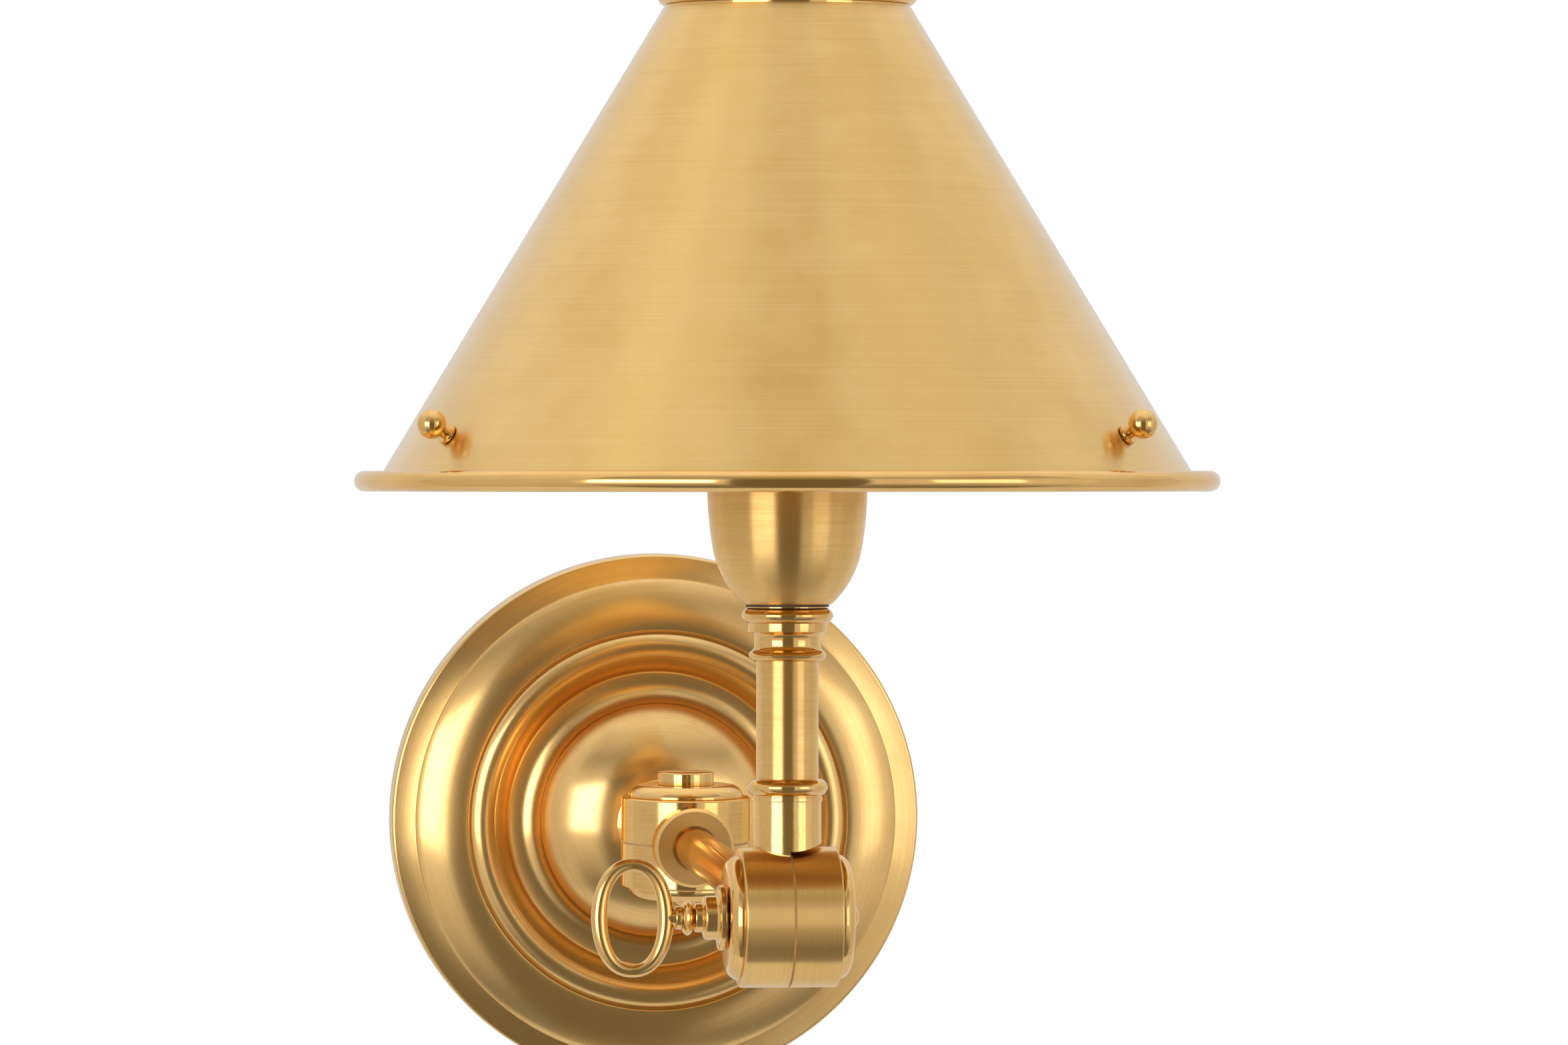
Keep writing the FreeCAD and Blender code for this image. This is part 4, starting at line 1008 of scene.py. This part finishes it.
# ---- thumb key
@dataclass
class ThumbKey(SubAssembly):
    """Oval loop on its turned baluster, measured outwards from the left cap."""

    axis: Axis = Axis.TILT
    body: Body = Body.KEY
    seat: float = 13.7
    bore: float = 2.5
    grip: float = 2.6
    flange: Pair = (7.0, 1.3)
    flange_round: float = 0.55
    flange_bend: float = 1.6
    step_radius: float = 4.7
    step_end: float = 4.2
    waist_radius: float = 3.1
    waist_end: float = 6.3
    cove: float = 0.5
    cove_bend: float = 0.9
    neck_radius: float = 2.0
    bead: Pair = (3.85, 7.8)
    bead_half: float = 1.1
    bead_bend: float = 1.6
    collar: Triple = (2.5, 9.0, 10.4)
    tail_inset: float = 0.3
    tail_end: float = 12.35
    bow_half: Pair = (7.15, 11.3)
    wire_side: float = 1.75
    wire_end: float = 1.35
    wire_steps: tuple[int, int] = (40, 14)
    web_inset: float = 0.1
    web_radius: float = 2.9
    web_bend: float = 2.2
    web_flat: float = 0.5

    @property
    def baluster(self) -> list[Corner]:
        """Outline of the turned stem of the key."""
        flange_radius, flange_end = self.flange
        bead_radius, bead_middle = self.bead
        collar_radius, collar_start, collar_end = self.collar
        tail_radius = self.neck_radius - self.tail_inset
        return [
            Corner(0.0, self.grip), Corner(self.bore, self.grip), Corner(self.bore, 0.0),
            Corner(flange_radius, 0.0, soften=0.15),
            Corner(flange_radius, flange_end, soften=self.flange_round),
            Corner(self.step_radius, flange_end + self.cove, -self.flange_bend),
            Corner(self.step_radius, self.step_end, soften=0.45),
            Corner(self.waist_radius, self.step_end + self.cove, soften=0.1),
            Corner(self.waist_radius, self.waist_end, soften=0.4),
            Corner(self.neck_radius, bead_middle - self.bead_half, -self.cove_bend),
            Corner(bead_radius, bead_middle, self.bead_bend),
            Corner(self.neck_radius, bead_middle + self.bead_half, self.bead_bend),
            Corner(self.neck_radius, collar_start), Corner(collar_radius, collar_start, soften=0.2),
            Corner(collar_radius, collar_end, soften=0.3), Corner(tail_radius, collar_end),
            Corner(tail_radius, self.tail_end), Corner(0.0, self.tail_end),
        ]

    def bow(self) -> Object:
        """Make the loop: a ring of wire, thick at its sides and thinner at its ends.

        Returns:
            The loop, in its place.
        """
        deselect_all()
        bpy.ops.curve.primitive_bezier_circle_add(radius=MM)
        loop = bpy.context.object
        loop.name = loop.data.name = "key_bow"
        for point in loop.data.splines[0].bezier_points:
            on_the_side = abs(point.co.x) > abs(point.co.y)
            point.radius = self.wire_side if on_the_side else self.wire_end
        bpy.ops.object.mode_set(mode="EDIT")
        bpy.ops.curve.select_all(action="SELECT")
        bpy.ops.transform.resize(value=(*self.bow_half, 1.0))
        bpy.ops.object.mode_set(mode="OBJECT")
        loop.data.dimensions = "3D"
        loop.data.resolution_u, loop.data.bevel_resolution = self.wire_steps
        loop.data.bevel_depth = MM
        bpy.ops.object.convert(target="MESH")
        middle = -(self.seat + self.tail_end + self.bow_half[0]) * MM
        upright = Matrix.Translation((middle, 0.0, 0.0)) @ Matrix.Rotation(math.pi / 2, 4, "X")
        return settle(loop, PIVOTS.place(Axis.STEM) @ upright)

    def web(self) -> Object:
        """Make the flat fillet where the stem runs into the loop.

        Returns:
            The fillet, in its place.
        """
        start, end = self.collar[2], self.tail_end + self.web_inset
        corners = [Corner(0.0, start), Corner(self.neck_radius - self.web_inset, start),
                   Corner(self.web_radius, end, -self.web_bend), Corner(0.0, end)]
        flat = Matrix.Diagonal((1.0, self.web_flat, 1.0, 1.0))
        return Lathe(around=72).turn("key_web", corners, self.axle() @ flat, closed=False)

    def axle(self) -> Matrix:
        """Frame at the key's seat whose z axis points away from the knuckle."""
        turn = Matrix.Rotation(-math.pi / 2, 4, "Y")
        return PIVOTS.place(Axis.STEM) @ Matrix.Translation((-self.seat * MM, 0.0, 0.0)) @ turn

    def build(self) -> None:
        """Make the key in one piece and dress its stud."""
        stem = Lathe(around=96).turn("key_with_bow", self.baluster, self.axle(), closed=False)
        loop, web = self.bow(), self.web()
        deselect_all()
        for item in (loop, web, stem):
            item.select_set(True)
        bpy.context.view_layer.objects.active = stem
        bpy.ops.object.join()
        self.carry(stem, Slot.POLISHED, "thumb_key", finish=KEYED)
        self.paint(Slot.ZINC, "key_stud")


# ---- studio
@dataclass(frozen=True)
class Softbox:
    """Large soft lamp beside the camera."""

    name: str
    azimuth_angle: float
    elevation_angle: float
    distance: float
    width: float
    height: float
    power: float
    tint: Triple = (1.0, 0.985, 0.96)

    def light(self, target: Vector) -> None:
        """Hang the lamp so that it faces the target.

        Args:
            target: the point that it faces.
        """
        azimuth, elevation = math.radians(self.azimuth_angle), math.radians(self.elevation_angle)
        back = Vector((math.sin(azimuth) * math.cos(elevation), -math.cos(azimuth) * math.cos(elevation),
                       math.sin(elevation)))
        lamp = bpy.data.lights.new(self.name, "AREA")
        lamp.shape, lamp.size, lamp.size_y = "RECTANGLE", self.width, self.height
        lamp.energy, lamp.color = self.power, self.tint
        holder = bpy.data.objects.new(self.name, lamp)
        bpy.context.scene.collection.objects.link(holder)
        holder.location = target + back * self.distance
        holder.rotation_euler = back.to_track_quat("Z", "Y").to_euler()
        holder.visible_camera = False


@dataclass(frozen=True)
class RoomPanel:
    """Part of the dim studio round the camera, seen only in reflections.

    levels holds pairs of an elevation in degrees and the brightness there.
    """

    name: str
    azimuth_from: float
    azimuth_to: float
    elevation_to: float
    levels: tuple[Pair, ...]
    tint: Triple = (1.0, 0.97, 0.92)
    elevation_from: float = -73.0
    distance: float = 2.9
    rows: int = 48
    columns: int = 64

    def raise_panel(self, target: Vector) -> None:
        """Sweep the panel as a piece of a sphere round the target.

        Args:
            target: the middle of the sphere.
        """
        panel = lone_vertex(self.name)
        low, high = math.radians(self.elevation_from), math.radians(self.elevation_to)
        edge = Vector((math.cos(low), 0.0, math.sin(low))) * self.distance
        bpy.ops.transform.translate(value=edge)
        spin_all(self.rows, high - low, axis=(0, 1, 0))
        spin_all(self.columns, math.radians(self.azimuth_to - self.azimuth_from))
        bpy.ops.object.mode_set(mode="OBJECT")
        first = min(math.atan2(vertex.co.y, vertex.co.x) for vertex in panel.data.vertices)
        turn = math.radians(self.azimuth_from - 90) - first
        panel.matrix_world = Matrix.Translation(target) @ Matrix.Rotation(turn, 4, "Z")
        panel.data.materials.append(self.glow())
        panel.visible_camera = panel.visible_diffuse = panel.visible_shadow = False

    def glow(self) -> Material:
        """Dim light that changes with the height above the target.

        Returns:
            The material.
        """
        material, graph, _ = fresh_material(self.name)
        graph.tree.nodes.clear()
        z = graph.node("SeparateXYZ", {0: graph.place()}).outputs["Z"]
        rise = graph.math("ARCSINE", graph.math("DIVIDE", z, self.distance), 0.0)
        share = graph.spread(rise, (-math.pi / 2, math.pi / 2), (0.0, 1.0))
        ramp = graph.node("ValToRGB", {0: share})
        elements = ramp.color_ramp.elements
        while len(elements) < len(self.levels):
            elements.new(0.5)
        for element, (elevation, level) in zip(elements, self.levels):
            element.position = (elevation + 90) / 180
            element.color = (*(level * share for share in self.tint), 1.0)
        glow = graph.node("Emission", {"Color": ramp.outputs[0]})
        graph.node("OutputMaterial", {"Surface": glow.outputs[0]})
        return material


FLOOR_LEVELS = ((-90, 0.50), (-73, 0.24))
GAP_LEVELS = (*FLOOR_LEVELS, (-40, 0.18), (16, 0.19), (38, 0.44), (50, 0.67), (64, 0.76))
LEFT_LEVELS = (*FLOOR_LEVELS, (-44, 0.24), (-16, 0.80), (16, 0.80), (36, 0.38), (50, 0.64), (64, 0.76))
RIGHT_LEVELS = (*FLOOR_LEVELS, (-44, 0.24), (-16, 0.74), (16, 0.78), (36, 0.42), (50, 0.80), (64, 0.90))
SIDE_LEVELS = ((-90, 0.60), (-30, 0.62), (5, 0.64), (35, 0.80), (50, 0.92), (90, 1.05))
BACK_LEVELS = ((-90, 0.76), (0, 0.72), (20, 0.78), (45, 1.05), (90, 1.15))


@dataclass
class Studio:
    """Camera, lamps, floor and surroundings."""

    eye_distance: float = 2000.0
    eye_height: float = 93.0
    yaw_angle: float = 7.2
    focal_length: float = 215.3
    sensor_width: float = 36.0
    clip: Pair = (0.05, 50.0)
    image_width: float = 2352.0
    centre_offset: Pair = (-5.0, -62.0)
    dim_level: float = 0.8
    floor_drop: float = 1.0
    floor_radius: float = 1.6
    floor_setback: float = 1.05
    floor_tints: tuple[Triple, Triple] = ((0.80, 0.79, 0.77), (0.84, 0.83, 0.82))
    floor_roughness: float = 0.8
    cloud_scale: float = 3.0
    cloud_detail: Pair = (3.0, 0.5)
    target: Triple = (0.0, -0.2, 0.05)
    panels: tuple[RoomPanel, ...] = (
        RoomPanel("room_gap", -22, 14, 64, GAP_LEVELS, tint=(1.0, 0.88, 0.66)),
        RoomPanel("room_front_left", -63, -22, 64, LEFT_LEVELS),
        RoomPanel("room_front_right", 14, 80, 64, RIGHT_LEVELS),
        RoomPanel("room_left", -118, -63, 88, SIDE_LEVELS),
        RoomPanel("room_right", 80, 118, 88, SIDE_LEVELS),
        RoomPanel("room_back", 118, 242, 88, BACK_LEVELS))
    lamps: tuple[Softbox, ...] = (
        Softbox("softbox_left", -42.0, 3.0, distance=2.0, width=1.2, height=1.0, power=10.0),
        Softbox("softbox_right", 43.0, 3.0, distance=2.0, width=0.9, height=1.0, power=2.8))

    def camera(self) -> None:
        """Put the camera where the photographer stood."""
        eye = bpy.data.cameras.new("photographer")
        eye.lens, eye.sensor_width = self.focal_length, self.sensor_width
        eye.clip_start, eye.clip_end = self.clip
        eye.shift_x, eye.shift_y = (offset / self.image_width for offset in self.centre_offset)
        holder = bpy.data.objects.new("photographer", eye)
        bpy.context.scene.collection.objects.link(holder)
        yaw = math.radians(self.yaw_angle)
        back, aside = math.cos(yaw) * self.eye_distance, math.sin(yaw) * self.eye_distance
        stand = Vector((-aside, -back, self.eye_height))
        holder.matrix_world = (PIVOTS.place(Axis.STEM) @ Matrix.Translation(stand * MM)
                               @ Matrix.Rotation(-yaw, 4, "Z") @ Matrix.Rotation(math.pi / 2, 4, "X"))
        bpy.context.scene.camera = holder

    def surroundings(self) -> None:
        """White world, seen by the camera and in reflections, and dimmer for everything else."""
        world = bpy.data.worlds.new("white_studio")
        bpy.context.scene.world = world
        world.use_nodes = True
        graph = Graph(world.node_tree)
        rays = graph.node("LightPath").outputs
        seen = graph.math("MAXIMUM", rays["Is Camera Ray"], rays["Is Glossy Ray"])
        through = graph.math("MAXIMUM", seen, rays["Is Transmission Ray"])
        level = graph.spread(through, (0.0, 1.0), (self.dim_level, 1.0))
        graph.feed(graph.tree.nodes["Background"], {"Strength": level, "Color": (*WHITE, 1.0)})

    def floor(self) -> None:
        """Plain pale floor under the wall light."""
        deselect_all()
        bpy.ops.mesh.primitive_circle_add(vertices=96, radius=self.floor_radius, fill_type="NGON",
                                          location=(0.0, self.floor_setback, -self.floor_drop))
        floor = bpy.context.object
        floor.name = "studio_floor"
        material, graph, shader = fresh_material("pale_floor")
        cloud = graph.noise(graph.place(), self.cloud_scale, self.cloud_detail)
        graph.feed(shader, {"Base Color": graph.blend(cloud, *self.floor_tints),
                            "Roughness": self.floor_roughness})
        floor.data.materials.append(material)

    def build(self) -> None:
        """Set up the whole studio."""
        bpy.context.scene.view_settings.view_transform = "Standard"
        self.camera()
        self.surroundings()
        self.floor()
        for panel in self.panels:
            panel.raise_panel(Vector(self.target))
        for lamp in self.lamps:
            lamp.light(Vector(self.target))


def main() -> None:
    """Build every sub-assembly and the studio."""
    logging.basicConfig(level=logging.INFO, format="%(name)s: %(message)s")
    Studio().build()
    for assembly in (Rosette(), PivotCaps(), Knuckles(), Stem(), Shade(), ThumbKey()):
        LOG.info("building %s", type(assembly).__name__)
        assembly.build()
    bpy.context.view_layer.update()


if __name__ == "__main__":
    main()
